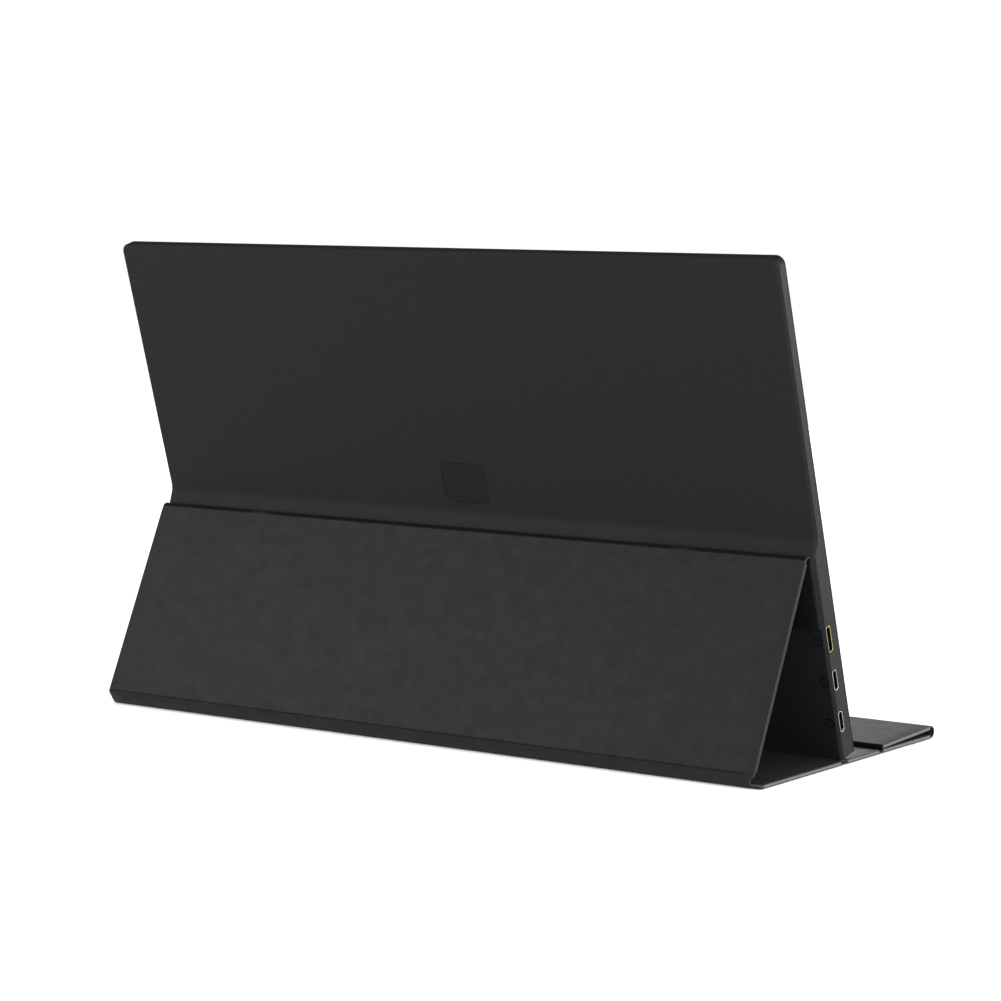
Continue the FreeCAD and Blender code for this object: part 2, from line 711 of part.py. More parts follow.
def headphone_socket():
    """Headphone socket between the key board's upper edge and the side wall, bored from the side."""
    body = new_body("headphone_socket", "monitor", x="inner_side", n="jack_middle_n", v="jack_middle_v")
    case = attach(body, "jack_case", "YZ_Plane")
    draw(case, rectangle("-jack_depth / 2", "-jack_span / 2", "jack_depth / 2", "jack_span / 2"))
    pad(body, case, "jack_length", backwards=True)
    bore = attach(body, "jack_bore", "YZ_Plane")
    draw_circle(bore, "0", "0", "jack_bore_radius")
    pocket(body, bore, "jack_bore_depth")
    node(body, "headphone_socket")


# Cover

def flap():
    """Flap on the back: adhesive sheet, then skin, board and lining."""
    head = "fold_height - fold_tail"
    foot = f"{head} - flap_height"
    inner = "thick_depth"
    for ply, depth in (("tape", "tape"), ("skin", "skin"), ("board", "core"), ("lining", "lining")):
        outer = f"{inner} + {depth}"
        layer(f"flap_{ply}", "monitor", "body_width - 2 * flap_inset", inner, outer, foot, head)
        inner = outer


def fold(name, place, width, radius, first, last, fixed):
    """Bent fabric about a fold's axis, from one radial direction round to another, with a tail at each end.

    A tail leaves the first direction backwards and the last one forwards, square to the radius.
    """
    def at(reach, angle, along):
        across = f"({reach}) * cos({angle}) - ({along}) * sin({angle})"
        up = f"({reach}) * sin({angle}) + ({along}) * cos({angle})"
        return across, up
    inner = f"{radius} - web"
    centre = ("0", "0")
    corners = [at(radius, first, "-fold_tail"), at(radius, first, "0"), at(radius, last, "0"),
               at(radius, last, "fold_tail"), at(inner, last, "fold_tail"), at(inner, last, "0"),
               at(inner, first, "0"), at(inner, first, "-fold_tail")]
    arcs = {1: (centre, fixed, True), 5: (centre, fixed, False)}
    profile_piece(name, place, corners, width, arcs)


def strut():
    """Stiff strut panel from the top fold down to the crease above the heel."""
    end = "axis_gap - strut_length"
    board_end = f"{end} + tab"
    outer, inner = "fold_radius", "fold_radius - ply"
    profile_piece("strut_skin", "strut",
                  [(f"{outer} - web", end), (outer, end), (outer, "-fold_tail"),
                   (f"{outer} - skin", "-fold_tail"), (f"{outer} - skin", board_end),
                   (f"{outer} - web", board_end)], "strut_width")
    layer("strut_board", "strut", "strut_width", f"{inner} + lining", f"{outer} - skin", board_end,
          "-fold_tail")
    layer("strut_lining", "strut", "strut_width", inner, f"{inner} + lining", board_end, "-fold_tail")


def heel_strip():
    """Soft strip between the strut and the base, rounded about the hinge axis at each edge."""
    half, low = "web / 2", "-heel_length"
    profile_piece("heel_strip", "heel", [(f"-{half}", low), (half, low), (half, "0"), (f"-{half}", "0")],
                  "body_width - 2 * heel_notch",
                  {0: (("0", low), "up", True), 2: (("0", "0"), "up", True)})


def base_panel(name, rear, rear_board, front_board, front_axis, front_lining):
    """Flat base panel; its skin runs on as a tab at the rear, and to a round edge on the front hinge axis."""
    corners = [(rear, "0"), (rear, "web"), (rear_board, "web"), (rear_board, "skin"), (front_board, "skin")]
    arcs = None
    if front_axis:
        corners += [(front_board, "web"), (front_axis, "web"), (front_axis, "0")]
        arcs = {6: ((front_axis, "web / 2"), "across", True)}
    else:
        corners += [(front_board, "0")]
    profile_piece(name + "_skin", "table", corners, "body_width", arcs)
    layer(name + "_board", "table", "body_width", front_board, rear_board, "skin", "core_top")
    layer(name + "_lining", "table", "body_width", front_lining, rear_board, "core_top", "ply")


def base():
    """Rear and front base panels and the lower lip panel, flat on the table, with soft creases between."""
    rear_end = "rear_crease_y + rear_crease / 2"
    under_edge = "foot_y + edge_reach - rest_lap"
    base_panel("base_rear", "base_axis_y - axis_gap", "base_axis_y - axis_gap - tab", rear_end,
               "rear_crease_y", under_edge)
    front_end = "front_crease_y + front_crease / 2"
    base_panel("base_front", "rear_crease_y - axis_gap", "rear_crease_y - rear_crease / 2", front_end,
               "front_crease_y", front_end)
    fold_end = "front_fold_y + fold_tail"
    base_panel("lip_lower", "front_crease_y - axis_gap", "front_crease_y - front_crease / 2", fold_end, None,
               fold_end)


def lip_upper():
    """Upper lip panel, folded back over the lower one, each ply drawn along it from the fold's axis."""
    inner = "front_fold_radius - ply"
    for ply, depth in (("lining", "lining"), ("board", "core"), ("skin", "skin")):
        outer = f"{inner} + {depth}"
        layer(f"lip_upper_{ply}", "lip", "body_width", "fold_tail", "lip_upper_length", inner, outer)
        inner = outer


rear_cover()
front_bezel()
badge_plate()
display_module()
board("main_board", "main_board_start", "main_board_end", "main_board_foot", "main_board_head", POSTS[:4])
board("key_board", "key_board_start", "switch_top", "key_board_foot", "key_board_head", POSTS[4:])
board_screws()
chip_shield()
cables()
speakers()
for name, spec in SOCKETS.items():
    socket(name, *spec)
for name, height in BUTTONS.items():
    button(name, height)
key_switches()
headphone_socket()
flap()
fold("top_fold", "top_fold", "strut_width", "fold_radius", "lean + strut_lean", "180", "up")
strut()
heel_strip()
base()
fold("front_fold", "front_fold", "body_width", "front_fold_radius", "90 - lip_slope", "270", "across")
lip_upper()

doc.recompute()
for thing in doc.Objects:
    if "Invalid" in thing.State or "Error" in thing.State:
        raise ValueError(f"{thing.Name} failed")
for piece in NODES:
    if piece.Shape.isNull() or not piece.Shape.isValid():
        raise ValueError(f"{piece.Label} has no valid shape")

os.makedirs("parts", exist_ok=True)
for piece in NODES:
    piece.Shape.exportStep(f"parts/{piece.Label}.step")
print(f"{len(NODES)} pieces")
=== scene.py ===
import json
import math

import bmesh
import bpy
import numpy as np
from mathutils import Matrix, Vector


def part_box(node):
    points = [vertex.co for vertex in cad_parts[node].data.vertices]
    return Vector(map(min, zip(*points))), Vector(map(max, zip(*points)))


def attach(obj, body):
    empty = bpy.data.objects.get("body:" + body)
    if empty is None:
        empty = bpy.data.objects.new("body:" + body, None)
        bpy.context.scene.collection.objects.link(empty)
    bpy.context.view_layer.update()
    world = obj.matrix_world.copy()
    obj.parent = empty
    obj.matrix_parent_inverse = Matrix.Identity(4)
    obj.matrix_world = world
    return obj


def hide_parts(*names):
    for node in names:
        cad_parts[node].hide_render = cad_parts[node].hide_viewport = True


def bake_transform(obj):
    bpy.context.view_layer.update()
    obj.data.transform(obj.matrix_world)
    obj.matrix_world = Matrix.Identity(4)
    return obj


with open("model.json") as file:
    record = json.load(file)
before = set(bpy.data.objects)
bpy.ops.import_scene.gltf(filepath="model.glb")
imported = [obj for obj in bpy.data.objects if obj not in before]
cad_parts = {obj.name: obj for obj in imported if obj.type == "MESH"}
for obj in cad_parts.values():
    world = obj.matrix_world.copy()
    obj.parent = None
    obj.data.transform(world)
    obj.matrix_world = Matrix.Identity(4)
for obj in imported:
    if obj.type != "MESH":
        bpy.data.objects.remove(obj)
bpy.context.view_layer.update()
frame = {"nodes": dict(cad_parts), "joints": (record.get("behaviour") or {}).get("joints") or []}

bl_info = {
    "name": "Portable monitor on a folding cover",
    "version": (1, 0, 0),
    "blender": (4, 5, 0),
    "location": "View3D > Sidebar > Monitor",
    "description": "Back shell, screen, sockets and folding cover of a portable monitor",
    "category": "Add Mesh",
}

HINGES = {joint["name"]: np.array(joint["pos_m"][1:]) for joint in frame["joints"] if joint["type"] == "hinge"}
BEZEL_LOW, BEZEL_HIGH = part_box("front_bezel")


def length(name, description, default):
    """A size that a user may change."""
    return bpy.props.FloatProperty(name=name, description=description, default=default, unit="LENGTH",
                                   precision=5)


def angle(name, description, degrees):
    """An angle that a user may change."""
    return bpy.props.FloatProperty(name=name, description=description, default=math.radians(degrees),
                                   subtype="ANGLE")


def colour(name, description, default):
    """A colour that a user may change."""
    return bpy.props.FloatVectorProperty(name=name, description=description, default=default, subtype="COLOR",
                                         size=3, min=0, max=1)


def number(name, description, default):
    """A plain number that a user may change."""
    return bpy.props.FloatProperty(name=name, description=description, default=default)


class MonitorSizes(bpy.types.PropertyGroup):
    """Sizes of the monitor's shell, bezel, sockets and buttons."""

    lean: angle("Lean", "How far the screen leans back", 15.5)
    half_width: length("Half width", "Half of the monitor's width", BEZEL_HIGH.x)
    height: length("Height", "Height along the screen", 0.2175)
    thin: length("Thin depth", "Depth of the upper part", 0.006)
    thick: length("Thick depth", "Depth of the lower part", 0.010)
    bezel: length("Bezel depth", "Depth of the front frame", 0.001)
    wall: length("Wall", "Wall of the back shell", 0.0012)
    band: length("Edge band", "Width of the bevel round the back", 0.0012)
    band_round: length("Edge rounding", "Rounding on both sides of the bevel", 0.0005)
    toe: length("Toe", "Rounding of the lower back edge", 0.00015)
    corner: length("Top corner", "Radius of the top corners", 0.0039)
    ramp_low: length("Ramp foot", "Height where the ramp begins", 0.091)
    ramp_high: length("Ramp head", "Height where the ramp ends", 0.097)
    window_side: length("Side border", "Bezel beside the picture", 0.0055)
    window_top: length("Top border", "Bezel above the picture", 0.006)
    window_foot: length("Lower border", "Bezel below the picture", 0.0171)
    mark_inset: length("Mark inset", "Distance of the port marks from the side", 0.0038)
    mark_radius: length("Mark radius", "Outer radius of a port mark", 0.0022)


class CoverSizes(bpy.types.PropertyGroup):
    """Sizes of the folding cover."""

    skin: length("Skin", "Thickness of the outer skin", 0.0004)
    core: length("Board", "Thickness of the stiff board", 0.0009)
    lining: length("Lining", "Thickness of the inner lining", 0.0004)
    tape: length("Tape", "Thickness of the adhesive sheet behind the flap", 0.00015)
    strut_lean: angle("Strut lean", "How far the strut leans", 25.2)
    fold_radius: length("Top fold", "Outer radius of the top fold", 0.00257)
    lip_radius: length("Front fold", "Outer radius of the front fold", 0.0027)
    flap_foot: length("Flap foot", "Height of the flap's lower edge on the back", 0.0594)
    flap_head: length("Flap head", "Height of the flap's upper edge on the back", 0.0888)
    strut_inset: length("Strut inset", "Distance of the strut's ends from the sides", 0.001)
    flap_inset: length("Flap inset", "Distance of the flap's ends from the sides", 0.0013)
    lip_slope: angle("Lip slope", "How far the upper lip panel falls towards its rear end", -2.55)
    lip_length: length("Lip length", "Length of the upper lip panel from the front fold's axis", 0.0416)
    lip_hang: length("Lip hang", "Height of the lip's hanging rear edge from the front fold's axis", 0.0001)
    rest_rise: length("Rest swell", "Height of the lining's swell under the monitor's resting edge", 0.00035)
    crease_press: length("Crease press", "Depth of the pressed line above the heel", 0.0004)
    notch_right: length("Right notch", "Depth of the heel's notch on the socket side", 0.0034)
    notch_left: length("Left notch", "Depth of the heel's notch on the button side", 0.0011)
    heel_bulge: length("Heel bulge", "How far the heel strip bows out", 0.0008)


class Finishes(bpy.types.PropertyGroup):
    """Colours of the object's finishes."""

    shell: colour("Shell", "Painted back shell", (0.0080, 0.0085, 0.0092))
    bezel: colour("Bezel", "Front frame", (0.0065, 0.0065, 0.0070))
    screen: colour("Screen", "Dark display panel", (0.0030, 0.0034, 0.0042))
    badge: colour("Badge", "Bare badge plate", (0.0046, 0.0050, 0.0054))
    mark: colour("Mark", "Sunk line of the port marks", (0.0012, 0.0012, 0.0012))
    skin: colour("Skin", "Coated outer skin of the cover", (0.0088, 0.0092, 0.0100))
    lining: colour("Lining", "Woven lining of the cover", (0.0100, 0.0100, 0.0110))
    cut_edge: colour("Cut edge", "Backing that shows at a cut edge", (0.075, 0.078, 0.076))
    strut_board: colour("Strut board", "Board edge of the strut", (0.013, 0.0135, 0.013))
    # Darker than the other linings: painted shade, as the flap lies deep in the tent under the strut.
    flap_board: colour("Flap board", "Board edge and lining of the flap", (0.004, 0.004, 0.004))
    base_board: colour("Base board", "Board edge of the base panels", (0.105, 0.1035, 0.10))
    gold: colour("Gold", "Gilt socket shell", (0.62, 0.50, 0.24))
    steel: colour("Steel", "Bright socket shells", (0.62, 0.62, 0.63))
    plastic: colour("Plastic", "Black mouldings", (0.006, 0.006, 0.0065))


class Studio(bpy.types.PropertyGroup):
    """Floor, lights and camera."""

    floor: colour("Floor", "Pale floor", (0.96, 0.96, 0.96))
    ambient: number("Ambient", "Strength of the even white light", 1.15)
    top: number("Top light", "Power of the light overhead in watts", 1.0)
    left: number("Left light", "Power of the light behind the strut, on the button side, in watts", 3.0)
    right: number("Right light", "Power of the light in front of the sockets in watts", 13.5)
    side: number("Side light", "Power of the broad light beside the sockets in watts", 15.0)
    front: number("Front light", "Power of the low light beyond the front lip in watts", 3.0)
    focal: number("Lens", "Focal length in millimetres", 117.564)
    yaw: angle("Yaw", "Turn of the camera about the vertical", 36.6693)
    pitch: angle("Pitch", "How far the camera looks down", 6.3351)
    roll: angle("Roll", "Turn of the camera about its own line of sight", -0.2232)
    place: bpy.props.FloatVectorProperty(name="Place", description="Where the camera stands", size=3,
                                         default=(-0.867109, 1.169350, 0.261159), subtype="TRANSLATION")


def monitor():
    return bpy.context.scene.monitor_sizes


def cover():
    return bpy.context.scene.cover_sizes


def finishes():
    return bpy.context.scene.cover_finishes


# Frames and curves


def turned(origin, turn, n, v):
    """(Y, Z) of points (n, v) in a frame that is turned about X by an angle, with its origin at (Y, Z)."""
    n, v = np.asarray(n, float), np.asarray(v, float)
    return np.stack([origin[0] + n * math.cos(turn) - v * math.sin(turn),
                     origin[1] + n * math.sin(turn) + v * math.cos(turn)], -1)


def monitor_foot():
    """(Y, Z) of the screen's lower front edge."""
    return BEZEL_LOW.y, BEZEL_HIGH.z - monitor().height * math.cos(monitor().lean)


def on_monitor(x, n, v):
    """Points of the leaning monitor: x along its width, n from the screen to the back, v up the screen."""
    x, n, v = np.broadcast_arrays(*(np.asarray(a, float) for a in (x, n, v)))
    return np.concatenate([x[..., None], turned(monitor_foot(), -monitor().lean, n, v)], -1)


def leaning(y, z):
    """(n, v) of a place at (Y, Z), in the monitor's leaning frame."""
    y, z, lean = y - monitor_foot()[0], z - monitor_foot()[1], monitor().lean
    return y * math.cos(lean) - z * math.sin(lean), y * math.sin(lean) + z * math.cos(lean)


def place_on_monitor(node):
    """(x, n, v) of the middle of a CAD node, in the monitor's leaning frame."""
    low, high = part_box(node)
    middle = (low + high) / 2
    return middle.x, *leaning(middle.y, middle.z)


def rounded_path(corners, radii, step, arc_step=6.0):
    """Line through corners in a plane, each inner corner replaced by an arc that touches both of its runs.

    The arc's centre lies on the bisector at radius / sin(half the corner's angle). Runs are divided into even
    steps and arcs into steps of arc_step degrees.
    """
    corners = np.asarray(corners, float)
    parts, start = [], corners[0]
    for i, radius in enumerate(radii, 1):
        here = corners[i]
        a, b = corners[i - 1] - here, corners[i + 1] - here
        a, b = a / np.linalg.norm(a), b / np.linalg.norm(b)
        half = math.acos(float(np.clip(a @ b, -1, 1))) / 2
        first, last = here + a * radius / math.tan(half), here + b * radius / math.tan(half)
        centre = here + (a + b) / np.linalg.norm(a + b) * radius / math.sin(half)
        begin = math.atan2(*(first - centre)[::-1])
        turn = (math.atan2(*(last - centre)[::-1]) - begin + math.pi) % (2 * math.pi) - math.pi
        count = max(2, math.ceil(abs(turn) / math.radians(arc_step)))
        parts += [run(start, first, step), arc(centre, radius, begin, begin + turn, count)]
        start = last
    parts.append(run(start, corners[-1], step))
    return np.concatenate([corners[:1]] + parts)


def run(start, end, step):
    """Even steps from start, which is left out, to end."""
    count = max(1, math.ceil(np.linalg.norm(np.subtract(end, start)) / step))
    return start + np.linspace(0, 1, count + 1)[1:, None] * np.subtract(end, start)


def arc(centre, radius, begin, end, count):
    """Points round a centre from one angle to another, without the first."""
    sweep = np.linspace(begin, end, count + 1)[1:]
    return centre + radius * np.stack([np.cos(sweep), np.sin(sweep)], -1)


def distance_along(path):
    """Length of a path up to each of its points."""
    return np.concatenate([[0], np.cumsum(np.linalg.norm(np.diff(path, axis=0), axis=1))])


def rounded_loop(width, height, radii, steps=6):
    """Closed outline of a rectangle about the origin.

    radii is one radius, or those of the corners at (+,-), (+,+), (-,+) and (-,-).
    """
    sweep = np.linspace(0, math.pi / 2, steps + 1)
    signs = ((1, -1, -0.5), (1, 1, 0), (-1, 1, 0.5), (-1, -1, 1))
    arcs = [np.stack([a * (width / 2 - r) + r * np.cos(sweep + t * math.pi),
                      b * (height / 2 - r) + r * np.sin(sweep + t * math.pi)], -1)
            for (a, b, t), r in zip(signs, np.broadcast_to(radii, 4))]
    return np.concatenate(arcs)


def soft_step(t):
    """0 below 0, 1 above 1 and a smooth step between them."""
    t = np.clip(t, 0, 1)
    return t * t * (3 - 2 * t)


# Meshes


def grid_faces(rows, columns, start=0, closed=False):
    """Corner numbers of a grid's quads, points numbered row by row; closed joins the last column."""
    index = start + np.arange(rows * columns).reshape(rows, columns)
    if closed:
        index = np.concatenate([index, index[:, :1]], 1)
    return np.stack([index[:-1, :-1], index[:-1, 1:], index[1:, 1:], index[1:, :-1]], -1).reshape(-1, 4)


def new_piece(name, grids, finish, closed=False, caps=(), sharp=35.0):
    """Object made of grids of points, welded where they meet, with its faces turned outwards.

    caps holds whole outlines, each closed by one flat face.
    """
    points, faces, start = [], [], 0
    for grid in grids:
        rows, columns = grid.shape[:2]
        points.append(grid.reshape(-1, 3))
        faces += grid_faces(rows, columns, start, closed).tolist()
        start += rows * columns
    for outline in caps:
        points.append(outline)
        faces.append(list(range(start, start + len(outline))))
        start += len(outline)
    mesh = bpy.data.meshes.new(name)
    mesh.from_pydata(np.concatenate(points), [], faces)
    weld(mesh)
    mesh.materials.append(finish)
    smooth(mesh, sharp)
    piece = bpy.data.objects.new(name, mesh)
    bpy.context.scene.collection.objects.link(piece)
    return piece


def weld(mesh):
    """Merges points that meet, drops faces that have shrunk to nothing and turns the rest outwards."""
    work = bmesh.new()
    work.from_mesh(mesh)
    bmesh.ops.remove_doubles(work, verts=work.verts, dist=2e-7)
    bmesh.ops.dissolve_degenerate(work, edges=work.edges, dist=1e-8)
    bmesh.ops.recalc_face_normals(work, faces=work.faces)
    work.to_mesh(mesh)
    work.free()


def smooth(mesh, sharp):
    """Smooth shading, broken at edges sharper than an angle."""
    mesh.shade_smooth()
    mesh.set_sharp_from_angle(angle=math.radians(sharp))


def keep_flat_faces_flat(piece):
    """Normals weighted by area, so that a rounded edge doesn't shade the flat face beside it."""
    modifier = piece.modifiers.new("Flat faces", "WEIGHTED_NORMAL")
    modifier.keep_sharp = True


def add_values(mesh, name, values):
    """One number for each point of a mesh, for its material to read."""
    mesh.attributes.new(name, "FLOAT", "POINT").data.foreach_set("value", np.asarray(values, np.float32))


def points_of(mesh):
    """A mesh's points as an array."""
    points = np.empty(len(mesh.vertices) * 3)
    mesh.vertices.foreach_get("co", points)
    return points.reshape(-1, 3)


def cloth_strip(name, outer, thickness, left, right, finish, columns=48, relief=None, ends=("flat", "flat"),
                raw=1.0, dull=0.0):
    """Cloth along a path in Y and Z: a loop across it that is flat on both faces and round at its sides.

    outer is the path of the outer face, and the cloth lies to the right of its direction. At each point the
    loop runs from x = left to x = right and is thickness deep. relief(s) raises the outer face at a distance
    along the path. A round end closes with a half circle, a flat one with a line. raw says how much of the
    backing shows at the cut sides, and the last argument where the finish is matt and painted darker as
    shade, each as one number or one for each point of the path.
    """
    count, edge = len(outer), np.linspace(math.pi / 2, -math.pi / 2, 7)[1:-1]
    half = np.broadcast_to(np.asarray(thickness, float) / 2, count)[:, None]
    left = np.broadcast_to(np.asarray(left, float), count)[:, None] + half
    right = np.broadcast_to(np.asarray(right, float), count)[:, None] - half
    along = np.gradient(outer, axis=0)
    along /= np.linalg.norm(along, axis=1, keepdims=True)
    normal = np.stack([-along[:, 1], along[:, 0]], -1)
    share, flat, full = np.linspace(0, 1, columns), np.zeros(columns), np.ones(columns)
    base = np.concatenate([share, np.ones(5), share[::-1], np.zeros(5)])
    out = np.concatenate([flat, np.cos(edge), flat, -np.cos(edge)])
    rise = np.concatenate([full, np.sin(edge), -full, np.sin(edge[::-1])])
    x = left + (right - left) * base + half * out
    lift = half * (rise - 1)
    if relief:
        lift = lift + np.where(rise > 0.99, relief(distance_along(outer)[:, None]), 0)

    def raised(height):
        flat_points = outer[:, None, :] + normal[:, None, :] * height[..., None]
        return np.concatenate([x[..., None], flat_points], -1)

    face, middle = raised(lift), raised(-half + 0 * lift)

    def end(i, sign, kind):
        rounded = kind == "round"
        bend = np.linspace(0, math.pi / 2, 5)[1:] if rounded else np.array([math.pi / 2])
        ahead = np.concatenate([[0], along[i]]) * sign * (half[i] if rounded else 0.0)
        bend = bend[:, None, None]
        return middle[i] + (face[i] - middle[i]) * np.cos(bend) + ahead * np.sin(bend)

    first, last = end(0, -1, ends[0])[::-1], end(-1, 1, ends[1])
    rings = np.concatenate([first, face, last])
    piece = new_piece(name, [rings], finish, closed=True)
    cut = (np.abs(out) > 0.2) & (rise > 0.1)
    for label, given, where in (("cut_edge", raw, cut), ("dull", dull, np.ones_like(cut))):
        shown = np.pad(np.broadcast_to(np.asarray(given, float), count), (len(first), len(last)), "edge")
        values = (shown[:, None] * where).ravel()
        add_values(piece.data, label, nearest_values(points_of(piece.data), rings.reshape(-1, 3), values))
    return piece


def nearest_values(points, known, values):
    """For each point, the value of the known point at the same place."""
    key = np.round(np.concatenate([known, points]) / 1e-7).astype(np.int64)
    _, groups = np.unique(key, axis=0, return_inverse=True)
    groups = groups.ravel()
    table = np.zeros(groups.max() + 1)
    table[groups[:len(known)]] = values
    return table[groups[len(known):]]


# Finishes


def new_finish(name, base, roughness, **sockets):
    """Material with one shader; sockets are named with underscores for spaces."""
    material = bpy.data.materials.new(name)
    material.use_nodes = True
    shader = material.node_tree.nodes["Principled BSDF"]
    shader.inputs["Base Color"].default_value = (*base, 1)
    shader.inputs["Roughness"].default_value = roughness
    for socket, value in sockets.items():
        shader.inputs[socket.replace("_", " ")].default_value = value
    return material


def add_node(material, kind, **inputs):
    """A node with some of its inputs set; names take underscores for spaces."""
    node = material.node_tree.nodes.new(kind)
    for socket, value in inputs.items():
        node.inputs[socket.replace("_", " ")].default_value = value
    return node


def link(material, source, target):
    """Joins an output to an input."""
    material.node_tree.links.new(source, target)


def noise(material, scale, detail=3.0, rough=0.5):
    """Noise on Object coordinates, with its own scale per metre along each axis; gives its value."""
    place = add_node(material, "ShaderNodeTexCoord")
    mapping = add_node(material, "ShaderNodeMapping", Scale=scale)
    texture = add_node(material, "ShaderNodeTexNoise", Scale=1.0, Detail=detail, Roughness=rough)
    link(material, place.outputs["Object"], mapping.inputs["Vector"])
    link(material, mapping.outputs["Vector"], texture.inputs["Vector"])
    return texture.outputs["Fac"]


def spread(material, value, low, high):
    """A value between 0.3 and 0.7, as noise mostly is, spread from low to high."""
    node = add_node(material, "ShaderNodeMapRange", From_Min=0.3, From_Max=0.7, To_Min=low, To_Max=high)
    link(material, value, node.inputs["Value"])
    return node.outputs["Result"]


def mixed(material, factor, first, second):
    """Two colours, or a colour and an output, mixed by a factor."""
    node = material.node_tree.nodes.new("ShaderNodeMix")
    node.data_type = "RGBA"
    link(material, factor, node.inputs[0])
    for socket, given in ((node.inputs[6], first), (node.inputs[7], second)):
        if isinstance(given, bpy.types.NodeSocket):
            link(material, given, socket)
        else:
            socket.default_value = (*given, 1)
    return node.outputs[2]


def value_of(material, name):
    """The piece's own value of that name at each point."""
    node = material.node_tree.nodes.new("ShaderNodeAttribute")
    node.attribute_name = name
    return node.outputs["Fac"]


def shaded(base, amount):
    """A colour made darker or lighter by a share."""
    return tuple(min(1.0, channel * amount) for channel in base)


def summed(material, first, second, share=1.0):
    """One value plus a share of another."""
    node = material.node_tree.nodes.new("ShaderNodeMath")
    node.operation = "MULTIPLY_ADD"
    node.inputs[1].default_value = share
    link(material, second, node.inputs[0])
    link(material, first, node.inputs[2])
    return node.outputs[0]


def rough_and_bump(material, roughness, height, distance, strength=1.0):
    """Feeds a roughness and a height into the shader."""
    shader = material.node_tree.nodes["Principled BSDF"]
    if roughness:
        link(material, roughness, shader.inputs["Roughness"])
    bump = add_node(material, "ShaderNodeBump", Strength=strength, Distance=distance)
    link(material, height, bump.inputs["Height"])
    link(material, bump.outputs["Normal"], shader.inputs["Normal"])


def base_colour(material, output):
    """Feeds a colour into the shader."""
    link(material, output, material.node_tree.nodes["Principled BSDF"].inputs["Base Color"])


def moulded(name, base, roughness=0.55, grain=2600.0, distance=2e-5, shine=0.35, mark=None):
    """Painted or moulded surface: fine grain in its colour, roughness and height.

    mark colours sunk lines, and a piece that has them is also darker and duller along its top edge: matt, with
    painted shade in its colour.
    """
    material = new_finish(name, base, roughness, Specular_IOR_Level=shine)
    fine = noise(material, (grain,) * 3, 2.0)
    broad = noise(material, (90.0,) * 3, 3.0)
    tint = mixed(material, fine, shaded(base, 0.80), shaded(base, 1.20))
    rough = spread(material, broad, roughness - 0.02, roughness + 0.02)
    if mark:
        # Painted shade: the top wall's colour is darkened to 45 per cent, and the paint there is made matt.
        top = value_of(material, "dull")
        tint = mixed(material, top, tint, shaded(base, 0.45))
        rough = mixed(material, top, rough, (1.0, 1.0, 1.0))
        tint = mixed(material, value_of(material, "sunk_mark"), tint, mark)
    base_colour(material, tint)
    rough_and_bump(material, rough, fine, distance)
    return material


def metal(name, base, roughness=0.28, inside=None):
    """Drawn metal: fine lines along its depth; inside is the colour that it darkens to within a socket, as
    painted shade.
    """
    material = new_finish(name, base, roughness, Metallic=1.0)
    lines = noise(material, (300.0, 5200.0, 5200.0), 2.0)
    tint = mixed(material, lines, shaded(base, 0.82), shaded(base, 1.05))
    if inside:
        tint = mixed(material, value_of(material, "inside"), tint, inside)
    base_colour(material, tint)
    rough_and_bump(material, spread(material, lines, roughness - 0.06, roughness + 0.08), lines, 4e-6)
    return material


def leather(name, base, edge):
    """Coated cloth: a linen grain of short threads both ways, cloudy wear, its backing at a cut, and painted
    shade where it is matt.
    """
    material = new_finish(name, base, 0.55, Specular_IOR_Level=0.13)
    along = noise(material, (230.0, 900.0, 900.0), 3.0, 0.6)
    across = noise(material, (900.0, 230.0, 230.0), 3.0, 0.6)
    clouds = noise(material, (130.0, 160.0, 160.0), 4.0, 0.65)
    grain = summed(material, along, across)
    tint = mixed(material, spread(material, grain, -0.75, 0.25), shaded(base, 0.15), shaded(base, 1.85))
    wear_and_painted_shade = mixed(material, spread(material, clouds, 0.0, 0.45), tint, shaded(base, 1.30))
    # Painted shade: where the piece's values say, the colour is darkened to a tenth and the finish made matt.
    dull = value_of(material, "dull")
    wear_and_painted_shade = mixed(material, dull, wear_and_painted_shade, shaded(base, 0.1))
    base_colour(material, mixed(material, value_of(material, "cut_edge"), wear_and_painted_shade, edge))
    rough = mixed(material, dull, spread(material, clouds, 0.58, 0.52), (1.0, 1.0, 1.0))
    rough_and_bump(material, rough, grain, 9e-5)
    return material


def weave(name, base, edge, shine=0.22, pitch=0.0007):
    """Woven lining: threads over and under each other at one pitch, with slubs along the width."""
    material = new_finish(name, base, 0.50, Specular_IOR_Level=shine, Sheen_Weight=0.02 * shine,
                          Sheen_Roughness=0.35)
    place = add_node(material, "ShaderNodeTexCoord")
    threads = []
    for axis in ("X", "Y"):
        wave = add_node(material, "ShaderNodeTexWave", Scale=2 * math.pi / (20 * pitch), Distortion=0.6)
        wave.bands_direction = axis
        link(material, place.outputs["Object"], wave.inputs["Vector"])
        threads.append(wave.outputs["Fac"])
    cross = material.node_tree.nodes.new("ShaderNodeMath")
    cross.operation = "MULTIPLY"
    link(material, threads[0], cross.inputs[0])
    link(material, threads[1], cross.inputs[1])
    slubs = noise(material, (90.0, 1800.0, 1800.0), 3.0)
    tint = mixed(material, slubs, shaded(base, 0.75), shaded(base, 1.25))
    base_colour(material, mixed(material, value_of(material, "cut_edge"), tint, edge))
    rough = spread(material, slubs, 0.44, 0.56)
    rough_and_bump(material, rough, summed(material, slubs, cross.outputs[0], 0.7), 3e-5)
    return material


def card(name, base, shine=0.25):
    """Pressed board: thin plies and fibres along the panel."""
    material = new_finish(name, base, 0.85, Specular_IOR_Level=shine)
    fibres = noise(material, (900.0, 240.0, 5200.0), 4.0, 0.6)
    base_colour(material, mixed(material, fibres, shaded(base, 0.68), shaded(base, 1.30)))
    rough_and_bump(material, None, fibres, 5e-5)
    return material


